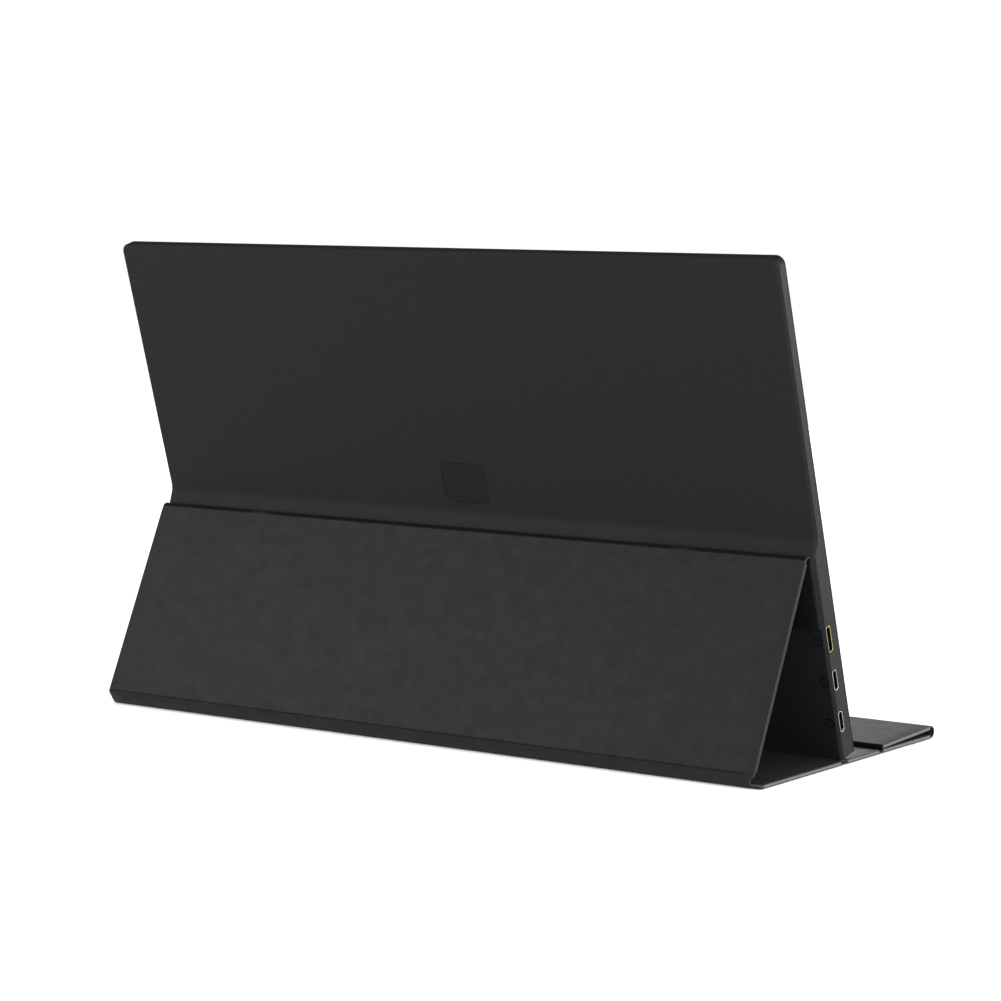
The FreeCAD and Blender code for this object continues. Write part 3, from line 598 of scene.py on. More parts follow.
def glass(name, base):
    """Dark matt-coated panel: a fine sparkle in its height and roughness."""
    material = new_finish(name, base, 0.30, Specular_IOR_Level=0.5)
    sparkle = noise(material, (3600.0, 3600.0, 3600.0), 1.0)
    base_colour(material, mixed(material, sparkle, shaded(base, 0.7), shaded(base, 1.3)))
    rough_and_bump(material, spread(material, sparkle, 0.26, 0.34), sparkle, 3e-6)
    return material


def striped(name, base, stripe, pitch, share=0.5):
    """Plastic with contact strips side by side up the monitor."""
    material = new_finish(name, base, 0.4)
    place = add_node(material, "ShaderNodeTexCoord")
    wave = add_node(material, "ShaderNodeTexWave", Scale=2 * math.pi / (20 * pitch))
    wave.bands_direction = "Z"
    step = add_node(material, "ShaderNodeMath")
    step.operation = "GREATER_THAN"
    step.inputs[1].default_value = share
    link(material, place.outputs["Object"], wave.inputs["Vector"])
    link(material, wave.outputs["Fac"], step.inputs[0])
    base_colour(material, mixed(material, step.outputs[0], base, stripe))
    rough_and_bump(material, None, step.outputs[0], 2e-5)
    return material


def give(finish, *names):
    """Puts a material on CAD nodes."""
    for name in names:
        mesh = frame["nodes"][name].data
        mesh.materials.clear()
        mesh.materials.append(finish)


# Monitor


def back_depth(v):
    """Depth of the back at a height: thick, a ramp with a round crown and hollow, then thin; a round toe."""
    size = monitor()
    beyond, crown, hollow = 0.01, 0.004, 0.008
    line = rounded_path([(size.thick, -beyond), (size.thick, size.ramp_low), (size.thin, size.ramp_high),
                         (size.thin, size.height + beyond)], [crown, hollow], 0.01, 2.0)
    toe = np.clip(size.toe - np.asarray(v), 0, size.toe)
    return np.interp(v, line[:, 1], line[:, 0]) - (size.toe - np.sqrt(size.toe ** 2 - toe ** 2))


def shell_rows():
    """Heights of the shell's rows: close together at the toe and on the ramp."""
    size = monitor()
    head, around = size.height - size.corner, 0.006
    low, high = size.ramp_low - around, size.ramp_high + around
    toe = size.toe * (1 - np.cos(np.linspace(0, math.pi / 2, 6)))
    rows = [toe, np.linspace(size.toe, low, 12), np.linspace(low, high, 46), np.linspace(high, head, 14)]
    return np.unique(np.round(np.concatenate(rows), 7))


def shell_columns():
    """Widths of the shell's columns between the top corners, from the buttons to the sockets."""
    reach = monitor().half_width - monitor().corner
    return np.linspace(reach, -reach, 41)


def shell_outline(inset, foot=0.0):
    """(x, v) up the button side, round the top and down the socket side, moved inwards by inset."""
    size = monitor()
    rows, columns = np.maximum(shell_rows(), foot), shell_columns()
    sweep = np.linspace(0, math.pi / 2, 13)[1:]
    centre = size.half_width - size.corner, size.height - size.corner
    corner = np.stack([centre[0] + (size.corner - inset) * np.cos(sweep),
                       centre[1] + (size.corner - inset) * np.sin(sweep)], -1)
    side = np.stack([np.full(len(rows), size.half_width - inset), rows], -1)
    half = np.concatenate([side, corner])
    top = np.stack([columns[1:-1], np.full(len(columns) - 2, size.height - inset)], -1)
    return np.concatenate([half, top, half[::-1] * (-1, 1)]), half


def shell_skin(foot, rings):
    """Grids of one face of the shell: wall and edge, back, and the lower wall.

    rings are (inset, n) pairs from the open front to the back, where n is a function of height.
    """
    columns = shell_columns()
    outlines = [shell_outline(d, foot) for d, _ in rings]
    wall = np.stack([on_monitor(line[:, 0], depth(line[:, 1]), line[:, 1])
                     for (line, _), (_, depth) in zip(outlines, rings)])
    half = outlines[-1][1]
    x = np.concatenate([half[:, :1], np.broadcast_to(columns, (len(half), len(columns))), -half[:, :1]], 1)
    back = on_monitor(x, rings[-1][1](half[:, 1:]), half[:, 1:])
    ends = np.array([monitor().half_width - d for d, _ in rings])[:, None]
    x = np.concatenate([ends, np.broadcast_to(columns, (len(rings), len(columns))), -ends], 1)
    low = np.array([float(depth(np.array(foot))) for _, depth in rings])[:, None]
    return wall, back, on_monitor(x, low, foot)


def shell_body():
    """Closed grids of the back shell: outside with its bevelled edge, inside one wall in, and the rim."""
    size = monitor()
    side_run, back_run = 0.003, 0.002
    turn = rounded_path([(0, side_run), (0, size.band), (size.band, 0), (size.band + back_run, 0)],
                        [size.band_round] * 2, 0.004, 9.0)[1:-1]

    def behind(h):
        return lambda v: back_depth(v) - h

    def front(v):
        return np.full(np.shape(v), size.bezel)

    outside = shell_skin(0.0, [(0, front)] + [(d, behind(h)) for d, h in turn])
    inside = shell_skin(size.wall, [(size.wall, front), (size.wall, behind(size.wall))])
    rims = [np.stack([outside[0][0], inside[0][0]]), np.stack([outside[2][0], inside[2][0]])]
    return [*outside, *inside, *rims]


def prism(outline, place, start, end):
    """Points of a bar: a closed outline (a, b) put in place at two depths."""
    return np.stack([place(outline[:, 0], outline[:, 1], depth) for depth in (start, end)])


# Span, depth and corner of each socket's mouth, and its metal
SOCKETS = {"mini_hdmi": (0.0112, 0.0032, 0.0008, "gold"), "usb_c_upper": (0.00894, 0.0032, 0.0013, "steel"),
           "usb_c_lower": (0.00894, 0.0032, 0.0013, "steel")}
# Clearance round a socket, and how deep its closed rear lies
SOCKET_GAP, SOCKET_REAR = 0.00015, 0.0076
BUTTONS = ("power_button", "menu_button")
# Depth, span and corner of a button's face, and the clearance round it
BUTTON_FACE, BUTTON_GAP = (0.0024, 0.010, 0.001), 0.0003
# Inset and depth of a button's rings, from its flange over the rounded edge to the dished middle
BUTTON_RINGS = ((-0.0006, 0.0028), (-0.0006, 0.0016), (0.0, 0.0016), (0.0, 0.00025), (0.00003, 0.00013),
                (0.0001, 0.00004), (0.00022, 0.0), (0.0005, 0.00003), (0.0009, 0.0001))
# Radius of the headphone hole, its depth from the screen and its height
JACK_HOLE = 0.0019, 0.0065, 0.0515
# Width, depth and corner of a sound slot, how far behind the screen it lies, and the slots' places in x
SOUND_SLOT, SLOT_DEPTH = (0.0014, 0.0024, 0.0006), 0.0076
SLOT_PLACES = np.add.outer((-0.06, 0.06), np.arange(-2.5, 3) * 0.004).ravel()
# Width, height and corner of the badge's recess, and its depth
BADGE_RECESS, BADGE_DEPTH = (0.0244, 0.0188, 0.0042), 0.0005
# Thickness, length and corner of a port mark's stroke, width of its ring's line, and depth of both
MARK_STROKE, MARK_LINE, MARK_DEPTH = (0.0005, 0.0019, 0.00024), 0.0006, 0.0002
# How far a cutting bar stands out of the shell and reaches into it
BAR_OUT, BAR_IN = 0.001, 0.0015


def shell_cutters():
    """Bars for the openings: sockets, marks' strokes, buttons, headphone hole, sound slots, badge recess."""
    size = monitor()
    side, bars = size.half_width, []

    def cut_side(outline, n, v, sign):
        ends = sorted((sign * (side + BAR_OUT), sign * (side - BAR_IN)))
        bars.append(prism(outline, lambda a, b, x: on_monitor(x, n + a, v + b), *ends))

    for name, (span, depth, corner, _) in SOCKETS.items():
        _, n, v = place_on_monitor(name + "_shell")
        cut_side(rounded_loop(depth + 2 * SOCKET_GAP, span + 2 * SOCKET_GAP, corner + SOCKET_GAP), n, v, -1)
        bars.append(prism(rounded_loop(*MARK_STROKE, 4),
                          lambda a, b, n: on_monitor(size.mark_inset - side + b, n, v + a),
                          size.thick - MARK_DEPTH, size.thick + BAR_OUT))
    depth, span, corner = BUTTON_FACE
    for name in BUTTONS:
        _, n, v = place_on_monitor(name)
        cut_side(rounded_loop(depth + 2 * BUTTON_GAP, span + 2 * BUTTON_GAP, corner + BUTTON_GAP), n, v, 1)
    radius, n, v = JACK_HOLE
    cut_side(rounded_loop(2 * radius, 2 * radius, radius, 9), n, v, 1)
    for x in SLOT_PLACES:
        bars.append(prism(rounded_loop(*SOUND_SLOT, 4), lambda a, b, v: on_monitor(x + a, SLOT_DEPTH + b, v),
                          -BAR_OUT, BAR_IN))
    _, _, v = place_on_monitor("badge_plate")
    bars.append(prism(rounded_loop(*BADGE_RECESS, 10), lambda a, b, n: on_monitor(a, n, v + b),
                      size.thin - BADGE_DEPTH, size.thin + BAR_OUT))
    return bars


def cut_openings(piece):
    """Takes the bars and the round port marks out of the back shell."""
    size = monitor()
    grids, caps = [], []
    for bar in shell_cutters():
        grids.append(bar)
        caps += [bar[0], bar[1][::-1]]
    sweep = np.linspace(0, 2 * math.pi, 49)[:-1]
    heights = [place_on_monitor(name + "_shell")[2] for name in SOCKETS]
    middle, big, small = size.mark_inset - size.half_width, size.mark_radius, size.mark_radius - MARK_LINE
    deep, out = size.thick - MARK_DEPTH, size.thick + BAR_OUT
    rings = [(small, deep), (small, out), (big, out), (big, deep), (small, deep)]
    for v in heights:
        grids.append(np.stack([on_monitor(middle + r * np.cos(sweep), n, v + r * np.sin(sweep))
                               for r, n in rings]))
    cutter = new_piece("openings", grids, piece.data.materials[0], closed=True, caps=caps)
    modifier = piece.modifiers.new("Openings", "BOOLEAN")
    modifier.operation = "DIFFERENCE"
    modifier.solver = "EXACT"
    modifier.object = cutter
    bpy.context.view_layer.update()
    shown = piece.evaluated_get(bpy.context.evaluated_depsgraph_get())
    mesh = bpy.data.meshes.new_from_object(shown)
    if len(mesh.vertices) <= len(piece.data.vertices):
        raise RuntimeError("the openings weren't cut")
    piece.modifiers.clear()
    piece.data = mesh
    mesh.name = piece.name
    bpy.data.objects.remove(cutter)
    smooth(mesh, 35.0)
    points = points_of(mesh)
    floor = on_monitor(middle, deep, np.array(heights))
    down = points[:, None, :] - floor
    normal = on_monitor(0, 1.0, 0) - on_monitor(0, 0.0, 0)
    sunk = (np.linalg.norm(down, axis=2) < 1.05 * big) & (np.abs(down @ normal) < 2e-5)
    add_values(mesh, "sunk_mark", sunk.any(1))


def mark_top_edge(mesh):
    """Values for the shell's paint: 1 on the top wall, fading to 0 down the top corners, where the paint is
    matt and painted darker as shade.
    """
    size = monitor()
    points = points_of(mesh)
    n, v = leaning(points[:, 1], points[:, 2])
    add_values(mesh, "dull", soft_step(2 * (v - size.height) / size.corner + 1) * (n < size.thin - size.band))


def settle(piece, node, body):
    """Puts a rigid piece in the place of a CAD node, which it hides, and on a body."""
    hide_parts(node)
    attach(piece, body)


def build_shell():
    """Back shell with its openings, and the badge plate's finish."""
    tone = finishes()
    paint = moulded("Back paint", tone.shell, 0.50, grain=1000.0, distance=1.5e-4, shine=0.07, mark=tone.mark)
    shell = new_piece("back_shell", shell_body(), paint)
    cut_openings(shell)
    mark_top_edge(shell.data)
    keep_flat_faces_flat(shell)
    settle(shell, "rear_cover", "monitor")
    give(moulded("Badge satin", tone.badge, 0.46, grain=3000.0, distance=1e-5, shine=0.08), "badge_plate")


def build_screen():
    """Front frame with a rounded edge and a lip round the picture, and the panel behind it."""
    size, tone = monitor(), finishes()
    edge_round, lip_round = 0.0002, 0.0003
    columns = shell_columns()
    bottom = np.stack([columns[::-1], np.zeros(len(columns))], -1)
    outer = np.concatenate([shell_outline(0)[0], bottom])
    side, foot, head = size.half_width - size.window_side, size.window_foot, size.height - size.window_top
    inner = np.stack([np.clip(outer[:, 0], -side, side), np.clip(outer[:, 1], foot, head)], -1)
    away = inner - outer
    away /= np.maximum(np.linalg.norm(away, axis=1, keepdims=True), 1e-9)
    bend = np.linspace(0, math.pi / 2, 5)
    rings = [(outer, size.bezel)]
    rings += [(outer + away * edge_round * (1 - math.cos(b)), edge_round * (1 - math.sin(b))) for b in bend]
    rings += [(inner - away * lip_round * math.cos(b), lip_round * (1 - math.sin(b))) for b in bend[::-1]]
    rings += [(inner, size.bezel), (outer, size.bezel)]
    grid = np.stack([on_monitor(line[:, 0], n, line[:, 1]) for line, n in rings])
    plastic = moulded("Bezel plastic", tone.bezel, 0.48, grain=2400.0, distance=1.5e-5, shine=0.02)
    bezel = new_piece("front_frame", [grid], plastic, closed=True)
    keep_flat_faces_flat(bezel)
    settle(bezel, "front_bezel", "monitor")
    give(glass("Screen panel", tone.screen), "lcd_cell")


def side_rings(node, depth, span, radii, steps, least=0.0):
    """Rounded rings about the middle of a CAD node on the monitor's side, one for each (inset, x) step.

    An inset takes as much off the corners' radii, down to the least one.
    """
    _, n, v = place_on_monitor(node)
    rings = []
    for inset, x in steps:
        corners = np.maximum(least, np.subtract(radii, inset))
        loop = rounded_loop(depth - 2 * inset, span - 2 * inset, corners)
        rings.append(on_monitor(x, n + loop[:, 0], v + loop[:, 1]))
    return np.stack(rings)


def build_sockets():
    """Socket shells: a loop with a rounded lip, carried in to a closed rear, with painted shade inside.

    The mini HDMI loop has two corners cut back on its front side.
    """
    size, tone = monitor(), finishes()
    lip, throat, wall = 0.0001, 0.00022, 0.0003
    front, rear = 0.00002 - size.half_width, SOCKET_REAR - size.half_width
    turn = np.linspace(0, math.pi, 9)
    steps = [(0.0, rear)]
    steps += [(lip * (1 - math.cos(a)), front + lip * (1 - math.sin(a))) for a in turn]
    steps += [(throat, front + wall), (wall, rear - wall)]
    for name, (span, depth, corner, metal_name) in SOCKETS.items():
        mini = name == "mini_hdmi"
        radii = (0.0007, 0.0007, 0.0013, 0.0013) if mini else corner
        rings = side_rings(f"{name}_shell", depth, span, radii, steps)
        colour_of = getattr(tone, metal_name)
        # Within the socket the metal's colour is darkened to 12 per cent: painted shade.
        finish = metal(f"{metal_name.capitalize()} of {name}", colour_of, inside=shaded(colour_of, 0.12))
        shell = new_piece(f"{name}_rim", [rings], finish, closed=True, caps=[rings[0], rings[-1]])
        # Points past the lip, within the socket, take the painted shade.
        dark = np.broadcast_to((np.arange(len(steps)) > len(turn))[:, None], rings.shape[:2])
        inside = nearest_values(points_of(shell.data), rings.reshape(-1, 3), dark.ravel())
        add_values(shell.data, "inside", inside)
        settle(shell, f"{name}_shell", "monitor")
        pitch = 0.0004 if mini else 0.0005
        give(striped(f"Contacts of {name}", tone.plastic, shaded(tone.gold, 0.12), pitch), f"{name}_tongue")


def build_buttons():
    """Push buttons: a flange, a cap with a rounded edge and a slightly dished top."""
    tone = finishes()
    depth, span, corner = BUTTON_FACE
    steps = [(inset, monitor().half_width - deep) for inset, deep in BUTTON_RINGS]
    for name in BUTTONS:
        rings = side_rings(name, depth, span, corner, steps, least=0.0003)
        plastic = moulded(f"Plastic of {name}", tone.plastic, 0.42, grain=2600.0, distance=1e-5, shine=0.35)
        cap = new_piece(f"{name}_cap", [rings], plastic, closed=True, caps=[rings[0], rings[-1]])
        settle(cap, name, name)


def build_inner_pieces():
    """Finishes of the pieces inside the shell."""
    tone = finishes()
    give(moulded("Diffuser", (0.80, 0.80, 0.78), 0.6), "diffuser_film", "reflector_sheet")
    give(moulded("Light guide", (0.62, 0.66, 0.66), 0.15), "light_guide")
    give(striped("LED strip", (0.55, 0.42, 0.10), (0.85, 0.82, 0.62), 0.004), "led_strip")
    give(metal("Tray metal", (0.60, 0.60, 0.58), 0.38), "backlight_tray", "chip_shield")
    give(moulded("Circuit board", (0.012, 0.070, 0.030), 0.42), "main_board", "key_board", "source_board")
    give(metal("Screw steel", (0.50, 0.50, 0.49), 0.32), "board_screws")
    give(striped("Flat cable", (0.42, 0.20, 0.05), (0.55, 0.32, 0.10), 0.0006), "panel_cable", "key_cable",
         "speaker_cable")
    give(moulded("Black moulding", tone.plastic, 0.5), "scaler_chip", "speaker_left", "speaker_right",
         "key_switches", "headphone_socket")


# Cover

# Places in y where the skins under the base meet, from the rear to the front
SKIN_JOINS = 0.038, -0.012, -0.066
# Rear end of the rear base panel's board, behind which its skin is a bare web
BOARD_END = 0.0684
# How far a skin's bend reaches to either side of a hinge
BEND_REACH = 0.0009
# Steps along half of the heel strip, in the middle of which two skins meet
HEEL_STEPS = 20


def strut_frame():
    """Origin and turn of the strut's frame."""
    return HINGES["top_fold_hinge"], cover().strut_lean


def heel_curve():
    """Outer face of the heel strip: a parabola that bows out from the line between its two hinges.

    Each end lies half a web from its hinge, square to the curve there. Gives the points and the directions in
    which the curve faces at its two ends.
    """
    top, foot = HINGES["heel_hinge"], HINGES["base_hinge"]
    long, bow = np.linalg.norm(foot - top), cover().heel_bulge
    down = (foot - top) / long
    out = np.array([-down[1], down[0]])
    faces = math.atan2(out[1], out[0]) + math.atan(4 * bow / long) * np.array([1, -1])
    begin, end = (hinge + cover().skin * np.array([math.cos(a), math.sin(a)])
                  for hinge, a in zip((top, foot), faces))
    share = np.linspace(0, 1, 2 * HEEL_STEPS + 1)[:, None]
    return begin + (end - begin) * share + out * bow * 4 * share * (1 - share), faces


def heel_width(path):
    """Ends of the strip: the strut's width at its crease, the base's at the other, notched between them.

    The notch is a quarter of a sine wave down to its deepest place and a quarter of a squarish ellipse, of the
    fourth power, from there.
    """
    top, foot = HINGES["heel_hinge"], HINGES["base_hinge"]
    share = np.clip((path - top) @ (foot - top) / np.sum((foot - top) ** 2), 0, 1)
    deep = 0.6
    past = np.clip((share - deep) / (1 - deep), 0, 1)
    dip = np.where(share < deep, np.sin(math.pi / 2 * share / deep), (1 - past ** 4) ** 0.25)
    half = monitor().half_width - cover().strut_inset * (1 - soft_step(share))
    return cover().notch_right * dip - half, half - cover().notch_left * dip


def thick_within(place, low, high, fade=0.0005):
    """Thickness of the skin: doubled between two places along it, where it is a bare web, with faded ends."""
    return cover().skin * (1 + soft_step((place - low + fade) / fade) * soft_step((high + fade - place) / fade))


def skin_finish():
    """The skin's leather, made once."""
    found = bpy.data.materials.get("Cover skin")
    return found or leather("Cover skin", finishes().skin, finishes().cut_edge)


def lining_finish():
    """The lining's weave, made once."""
    found = bpy.data.materials.get("Cover lining")
    return found or weave("Cover lining", finishes().lining, finishes().cut_edge)


def add_skin(name, path, thickness, left, right, nodes, ends=("flat", "flat"),
             relief=None, raw=0.2, dull=0.0):
    """A length of the outer skin that stands for CAD nodes, which it hides."""
    piece = cloth_strip(name, path, thickness, left, right, skin_finish(), relief=relief, ends=ends, raw=raw,
                        dull=dull)
    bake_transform(piece)
    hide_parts(*nodes)
    return piece


def build_top_fold():
    """Skin of the flap, up the monitor's back, over the top fold and on to the strut's upper edge."""
    size, sheet = monitor(), cover()
    axis, turn = strut_frame()
    foot, lean, radius = monitor_foot(), -size.lean, sheet.fold_radius
    n, lap = size.thick + sheet.tape, 0.001
    low, head, top = turned(foot, lean, n, np.array([sheet.flap_foot, sheet.flap_head, sheet.flap_head + lap]))
    flap = np.concatenate([[low], run(low, head, 0.003), run(head, top, 0.00025)])
    tail = turned(axis, turn, radius, -np.linspace(0, lap, 4)[1:])
    path = np.concatenate([flap, arc(axis, radius, math.pi - size.lean, turn, 32), tail])
    place = distance_along(path)
    web = place[len(flap) - 1] - lap
    on_fold = soft_step((place - web + lap) / lap)
    half = size.half_width - sheet.flap_inset + (sheet.flap_inset - sheet.strut_inset) * on_fold
    upward = (path[:, 1] - axis[1]) / radius
    # The fold's upper arc, where it meets the ramp, is matt, with painted shade in its colour.
    add_skin("flap_and_top_fold_skin", path, thick_within(place, web, np.inf), -half, half,
             ("flap_skin", "top_fold"),
             raw=0.6 * on_fold, dull=soft_step((upward - 0.42) / 0.25))


def strut_reach():
    """Length of the strut from the top fold's axis to the crease at its foot."""
    axis, turn = strut_frame()
    return float(np.dot(HINGES["heel_hinge"] - axis, [math.sin(turn), -math.cos(turn)]))


def build_strut_skin():
    """Skin of the strut, with a pressed line at the crease, on to half way down the heel strip."""
    sheet = cover()
    axis, turn = strut_frame()
    crease = HINGES["heel_hinge"]
    heel, faces = heel_curve()
    begin, end = turned(axis, turn, sheet.fold_radius, np.array([-0.001, -strut_reach()]))
    near_crease = end + (begin - end) * 0.03
    straight = np.concatenate([[begin], run(begin, end, 0.001)[:-3], run(near_crease, end, 0.00012)])
    corner = arc(crease, sheet.skin, turn, faces[0], 6)
    path = np.concatenate([straight, corner, heel[1:HEEL_STEPS + 1]])
    place = distance_along(path)
    at = place[len(straight) - 1]
    left, right = heel_width(path)
    # Depth, place and half width of the line above the crease and of the faint one below the fold
    lines = ((sheet.crease_press, at - 0.0005, 0.00028), (0.00008, 0.0022, 0.0004))

    def relief(s):
        return -sum(deep * np.exp(-((s - middle) / wide) ** 2) for deep, middle, wide in lines)

    add_skin("strut_skin_panel", path, thick_within(place, at - 0.0008, np.inf), left, right,
             ("strut_skin",), relief=relief, raw=0.45)


def build_base_skins():
    """Skin from half way down the heel strip, round the rear edge and under the base to the front lip."""
    sheet, half = cover(), monitor().half_width
    rear, crease, front = (HINGES[name] for name in ("base_hinge", "rear_crease_hinge", "front_crease_hinge"))
    heel, faces = heel_curve()
    first, second, third = SKIN_JOINS
    corner = arc(rear, sheet.skin, faces[1], -math.pi / 2, 6)
    path = np.concatenate([heel[HEEL_STEPS:], corner, run(corner[-1], (first, 0.0), 0.001)])
    left, right = heel_width(path)
    bend = rear - HINGES["heel_hinge"]
    bend = bend / np.linalg.norm(bend) + (-1.0, 0.0)
    bend = bend / np.linalg.norm(bend) * BEND_REACH
    frayed = (path[:, 1] < 0.00005) & (path[:, 0] > BOARD_END - 0.002)
    add_skin("heel_and_rear_base_skin", path, thick_within(path[:, 0], BOARD_END, np.inf), left, right,
             ("heel_strip", "base_rear_skin"),
             raw=np.where(frayed, 1.0, 0.1))
    spans = (("front_base_skin", first, second, crease[0], 0.0026, ("base_rear", "base_front"), "base_front"),
             ("lower_lip_skin", second, third, front[0], 0.0015, ("base_front", "lip_lower"), "lip_lower"))
    for name, begin, stop, middle, reach, bodies, panel in spans:
        beyond, turn = reach + 0.001, reach * 0.6
        y = np.concatenate([np.linspace(begin, middle + beyond, 18),
                            np.linspace(middle + reach, middle - reach, 24),
                            np.linspace(middle - beyond, stop, 18)])
        path = np.stack([y, np.zeros_like(y)], -1)
        add_skin(name, path, thick_within(y, middle - reach, middle + reach), -half, half,
                 (f"{panel}_skin",))


def build_lip_skin():
    """Skin round the front fold, back over the upper lip panel and down its rear end into the crease."""
    sheet, half = cover(), monitor().half_width
    fold, radius, slope = HINGES["front_fold_hinge"], sheet.lip_radius, sheet.lip_slope
    lap, edge_round = 0.001, 0.0005
    start = np.array([SKIN_JOINS[-1], 0.0])
    below = np.concatenate([[start], run(start, (fold[0], 0.0), 0.0004)])
    bend = arc(fold, radius, 1.5 * math.pi, math.pi / 2 + slope, 40)
    rear = sheet.lip_length + sheet.skin
    head, tip = (turned(fold, slope, rear, height) for height in (radius, sheet.lip_hang))
    over = rounded_path([bend[-1], head, tip], [edge_round], 0.001, 12.0)[1:]
    path = np.concatenate([below, bend, over])
    place = distance_along(path)
    begin, end = place[len(below) - 1], place[len(below) + len(bend) - 1]
    # Its rear end face, towards the monitor, is matt, with painted shade in its colour.
    behind = (path - fold) @ (math.cos(slope), math.sin(slope)) > rear - 0.0002
    add_skin("front_fold_and_upper_lip_skin", path, thick_within(place, begin - lap, end + lap), -half, half,
             ("front_fold", "lip_upper_skin"),
             ends=("flat", "round"), raw=0.6, dull=behind)


def build_linings():
    """Woven linings on the inner faces of the panels.

    The rear base panel's lining swells a little, as a bell curve, under the edge the monitor rests on.
    """
    size, sheet = monitor(), cover()
    axis, turn = strut_frame()
    ply = sheet.skin + sheet.core + sheet.lining
    margin, crease_margin, swell_width = 0.001, 0.0017, 0.0015
    strut = turned(axis, turn, sheet.fold_radius - ply, np.array([crease_margin - strut_reach(), -margin]))
    flap = turned(monitor_foot(), -size.lean, size.thick + sheet.tape + ply,
                  np.array([sheet.flap_head, sheet.flap_foot]))
    lip = turned(HINGES["front_fold_hinge"], sheet.lip_slope, np.array([sheet.lip_length, margin]),
                 sheet.lip_radius - ply)
    paths = {"strut": (strut, "strut", sheet.strut_inset), "flap": (flap, "monitor", sheet.flap_inset)}
    for panel in ("base_rear", "base_front", "lip_lower"):
        paths[panel] = (flat_span(f"{panel}_lining", ply), panel, 0)
    paths["lip_upper"] = (lip, "lip_upper", 0)
    # The flap's lining is a darker, less shiny copy of the lining; its darker colour is painted shade, as the
    # flap lies deep in the tent under the strut.
    painted_shade_flap_cloth = weave("Flap lining", finishes().flap_board, finishes().cut_edge, 0.08)
    for name, (ends, body, inset) in paths.items():
        first, last = ends
        back = (last - first) / np.linalg.norm(last - first) * sheet.lining / 2
        path = np.concatenate([[first + back], run(first + back, last - back, 0.0006)])
        if name == "base_rear":
            edge = turned(monitor_foot(), -size.lean, size.thick, 0.0)
            path[:, 1] += sheet.rest_rise * np.exp(-((path[:, 0] - edge[0]) / swell_width) ** 2)
        half = size.half_width - inset
        finish = painted_shade_flap_cloth if name == "flap" else lining_finish()
        piece = cloth_strip(f"{name}_lining_cloth", path, sheet.lining, -half, half, finish,
                            ends=("round", "round"), raw=0.45 if name == "strut" else 0.0)
        settle(piece, f"{name}_lining", body)


def flat_span(node, height):
    """Front and rear end of a lining that lies flat, at its upper face."""
    low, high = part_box(node)
    return np.array([(low.y, height), (high.y, height)])


def build_boards():
    """Finishes of the stiff boards, whose edges show, and of the adhesive sheet."""
    tone = finishes()
    give(card("Strut card", tone.strut_board), "strut_board")
    # The flap's board takes the flap's dark colour, which is painted shade.
    give(card("Flap card", tone.flap_board, 0.05), "flap_board")
    give(card("Base card", tone.base_board), "base_rear_board", "base_front_board", "lip_lower_board",
         "lip_upper_board")
    give(moulded("Adhesive sheet", (0.02, 0.02, 0.02), 0.6), "flap_tape")


# Stage

# Place, target, size and tint of each light: overhead, behind the strut on the button side, beside the sockets,
# before the screen on the socket side and before it on the button side
LIGHTS = {
    "top": ((0.0, 0.1, 1.6), (0.0, 0.05, 0.0), 1.6, (1.0, 1.0, 1.0)),
    "left": ((0.5, 0.65, 0.36), (0.1, 0.05, 0.08), 0.4, (1.0, 1.0, 1.0)),
    "side": ((-1.0, 0.45, 0.35), (-0.15, 0.02, 0.04), 1.0, (1.0, 1.0, 1.0)),
    "right": ((-1.0, -1.3, 0.28), (-0.178, 0.0, 0.12), 0.6, (1.0, 0.965, 0.93)),
    "front": ((0.8, -1.2, 0.25), (-0.1, -0.05, 0.0), 0.6, (1.0, 1.0, 1.0)),
}


def build_stage():
    """Pale floor, even white surroundings, the lights and the camera."""
    studio, scene = bpy.context.scene.studio, bpy.context.scene
    scene.view_settings.view_transform = "Standard"
    reach = np.linspace(-60, 60, 13)
    x, y = np.meshgrid(reach, reach)
    floor_finish = new_finish("Floor", studio.floor, 0.9, Specular_IOR_Level=0.1)
    mottle = noise(floor_finish, (3.0, 3.0, 3.0))
    base_colour(floor_finish, mixed(floor_finish, mottle, shaded(studio.floor, 0.99), studio.floor))
    floor = new_piece("floor", [np.stack([x, y, np.full_like(x, -0.0003)], -1)], floor_finish)
    world = bpy.data.worlds.new("White surroundings")
    world.use_nodes = True
    sky = world.node_tree.nodes["Background"]
    sky.inputs["Color"].default_value = (0.97, 0.99, 1.03, 1)
    sky.inputs["Strength"].default_value = studio.ambient
    scene.world = world
    for name, (place, target, size, tint) in LIGHTS.items():
        add_light(f"{name.capitalize()} light", place, target, size, getattr(studio, name), tint)
    add_camera(studio)


def add_camera(studio):
    """The camera, at its place and turned by its yaw, pitch and roll."""
    a, e, r = studio.yaw, studio.pitch, studio.roll
    look = np.array([math.sin(a) * math.cos(e), -math.cos(a) * math.cos(e), -math.sin(e)])
    right = np.cross(look, (0, 0, 1))
    right /= np.linalg.norm(right)
    up = np.cross(right, look)
    right, up = math.cos(r) * right + math.sin(r) * up, math.cos(r) * up - math.sin(r) * right
    camera = bpy.data.objects.new("Camera", bpy.data.cameras.new("Camera"))
    camera.data.sensor_width = 36.0
    camera.data.lens = studio.focal
    camera.data.clip_end = 200.0
    put_in_scene(camera, studio.place, right, up, -look)
    bpy.context.scene.camera = camera


def add_light(name, place, target, size, power, tint):
    """A square soft light that faces a point."""
    lamp = bpy.data.lights.new(name, "AREA")
    lamp.size = size
    lamp.energy = power
    lamp.color = tint
    holder = bpy.data.objects.new(name, lamp)
    back = np.subtract(place, target)
    back = back / np.linalg.norm(back)
    side = np.cross((0, 1, 0.001), back)
    side /= np.linalg.norm(side)
    put_in_scene(holder, place, side, np.cross(back, side), back)


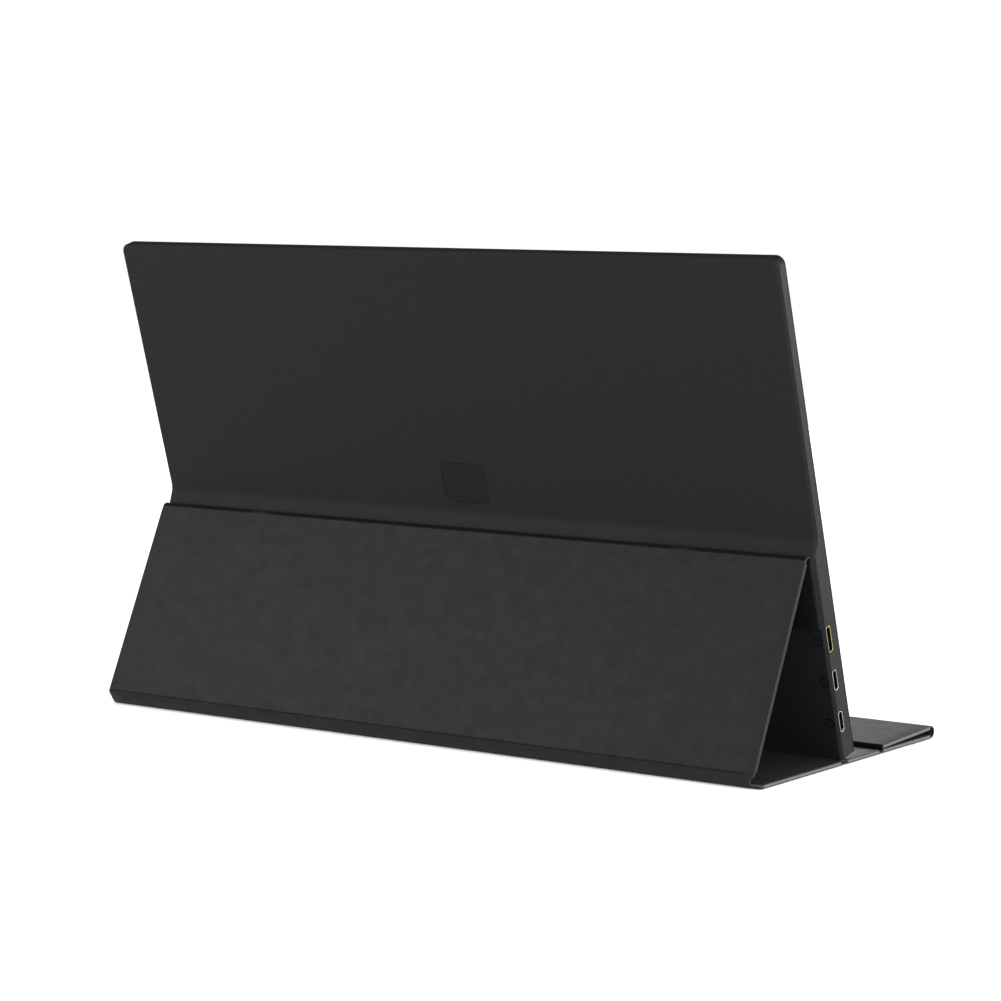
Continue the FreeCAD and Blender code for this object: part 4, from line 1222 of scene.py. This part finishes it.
def put_in_scene(holder, place, right, up, back):
    """Puts a light or a camera at a place, turned to its three axes."""
    turn = np.stack([right, up, back], 1)
    holder.matrix_world = Matrix.Translation(place) @ Matrix(turn.tolist()).to_4x4()
    bpy.context.scene.collection.objects.link(holder)


# Operators and panel


class MONITOR_OT_back_shell(bpy.types.Operator):
    """Back shell with its openings, and the badge plate"""

    bl_idname = "portable_monitor.back_shell"
    bl_label = "Back shell"

    def execute(self, context):
        build_shell()
        return {"FINISHED"}


class MONITOR_OT_screen(bpy.types.Operator):
    """Front frame and display panel"""

    bl_idname = "portable_monitor.screen"
    bl_label = "Screen and bezel"

    def execute(self, context):
        build_screen()
        return {"FINISHED"}


class MONITOR_OT_sockets(bpy.types.Operator):
    """Socket shells and their tongues"""

    bl_idname = "portable_monitor.sockets"
    bl_label = "Sockets"

    def execute(self, context):
        build_sockets()
        return {"FINISHED"}


class MONITOR_OT_buttons(bpy.types.Operator):
    """Power and menu buttons"""

    bl_idname = "portable_monitor.buttons"
    bl_label = "Buttons"

    def execute(self, context):
        build_buttons()
        return {"FINISHED"}


class MONITOR_OT_inner_pieces(bpy.types.Operator):
    """Finishes of the pieces inside the shell"""

    bl_idname = "portable_monitor.inner_pieces"
    bl_label = "Inner pieces"

    def execute(self, context):
        build_inner_pieces()
        return {"FINISHED"}


class MONITOR_OT_cover_boards(bpy.types.Operator):
    """Finishes of the cover's boards and adhesive sheet"""

    bl_idname = "portable_monitor.cover_boards"
    bl_label = "Cover boards"

    def execute(self, context):
        build_boards()
        return {"FINISHED"}


class MONITOR_OT_cover_skins(bpy.types.Operator):
    """Outer skin of the cover, from the flap to the front lip"""

    bl_idname = "portable_monitor.cover_skins"
    bl_label = "Cover skins"

    def execute(self, context):
        build_top_fold()
        build_strut_skin()
        build_base_skins()
        build_lip_skin()
        return {"FINISHED"}


class MONITOR_OT_cover_linings(bpy.types.Operator):
    """Woven linings of the cover's panels"""

    bl_idname = "portable_monitor.cover_linings"
    bl_label = "Cover linings"

    def execute(self, context):
        build_linings()
        return {"FINISHED"}


class MONITOR_OT_stage(bpy.types.Operator):
    """Floor, lights and camera"""

    bl_idname = "portable_monitor.stage"
    bl_label = "Stage"

    def execute(self, context):
        build_stage()
        return {"FINISHED"}


OPERATORS = (MONITOR_OT_back_shell, MONITOR_OT_screen, MONITOR_OT_sockets, MONITOR_OT_buttons,
             MONITOR_OT_inner_pieces, MONITOR_OT_cover_boards, MONITOR_OT_cover_skins, MONITOR_OT_cover_linings,
             MONITOR_OT_stage)


class MONITOR_PT_pieces(bpy.types.Panel):
    """Lists the pieces of the monitor."""

    bl_label = "Portable monitor"
    bl_idname = "MONITOR_PT_pieces"
    bl_space_type = "VIEW_3D"
    bl_region_type = "UI"
    bl_category = "Monitor"

    def draw(self, context):
        for made in OPERATORS:
            self.layout.operator(made.bl_idname)


GROUPS = {"monitor_sizes": MonitorSizes, "cover_sizes": CoverSizes, "cover_finishes": Finishes,
          "studio": Studio}


def register():
    for made in (*GROUPS.values(), *OPERATORS, MONITOR_PT_pieces):
        bpy.utils.register_class(made)
    for name, group in GROUPS.items():
        setattr(bpy.types.Scene, name, bpy.props.PointerProperty(type=group))


def unregister():
    for name in GROUPS:
        delattr(bpy.types.Scene, name)
    for made in (MONITOR_PT_pieces, *reversed(OPERATORS), *reversed(GROUPS.values())):
        bpy.utils.unregister_class(made)


def main():
    """Builds every piece and the stage."""
    register()
    for made in OPERATORS:
        getattr(bpy.ops.portable_monitor, made.bl_idname.split(".")[1])()


if __name__ == "__main__":
    main()
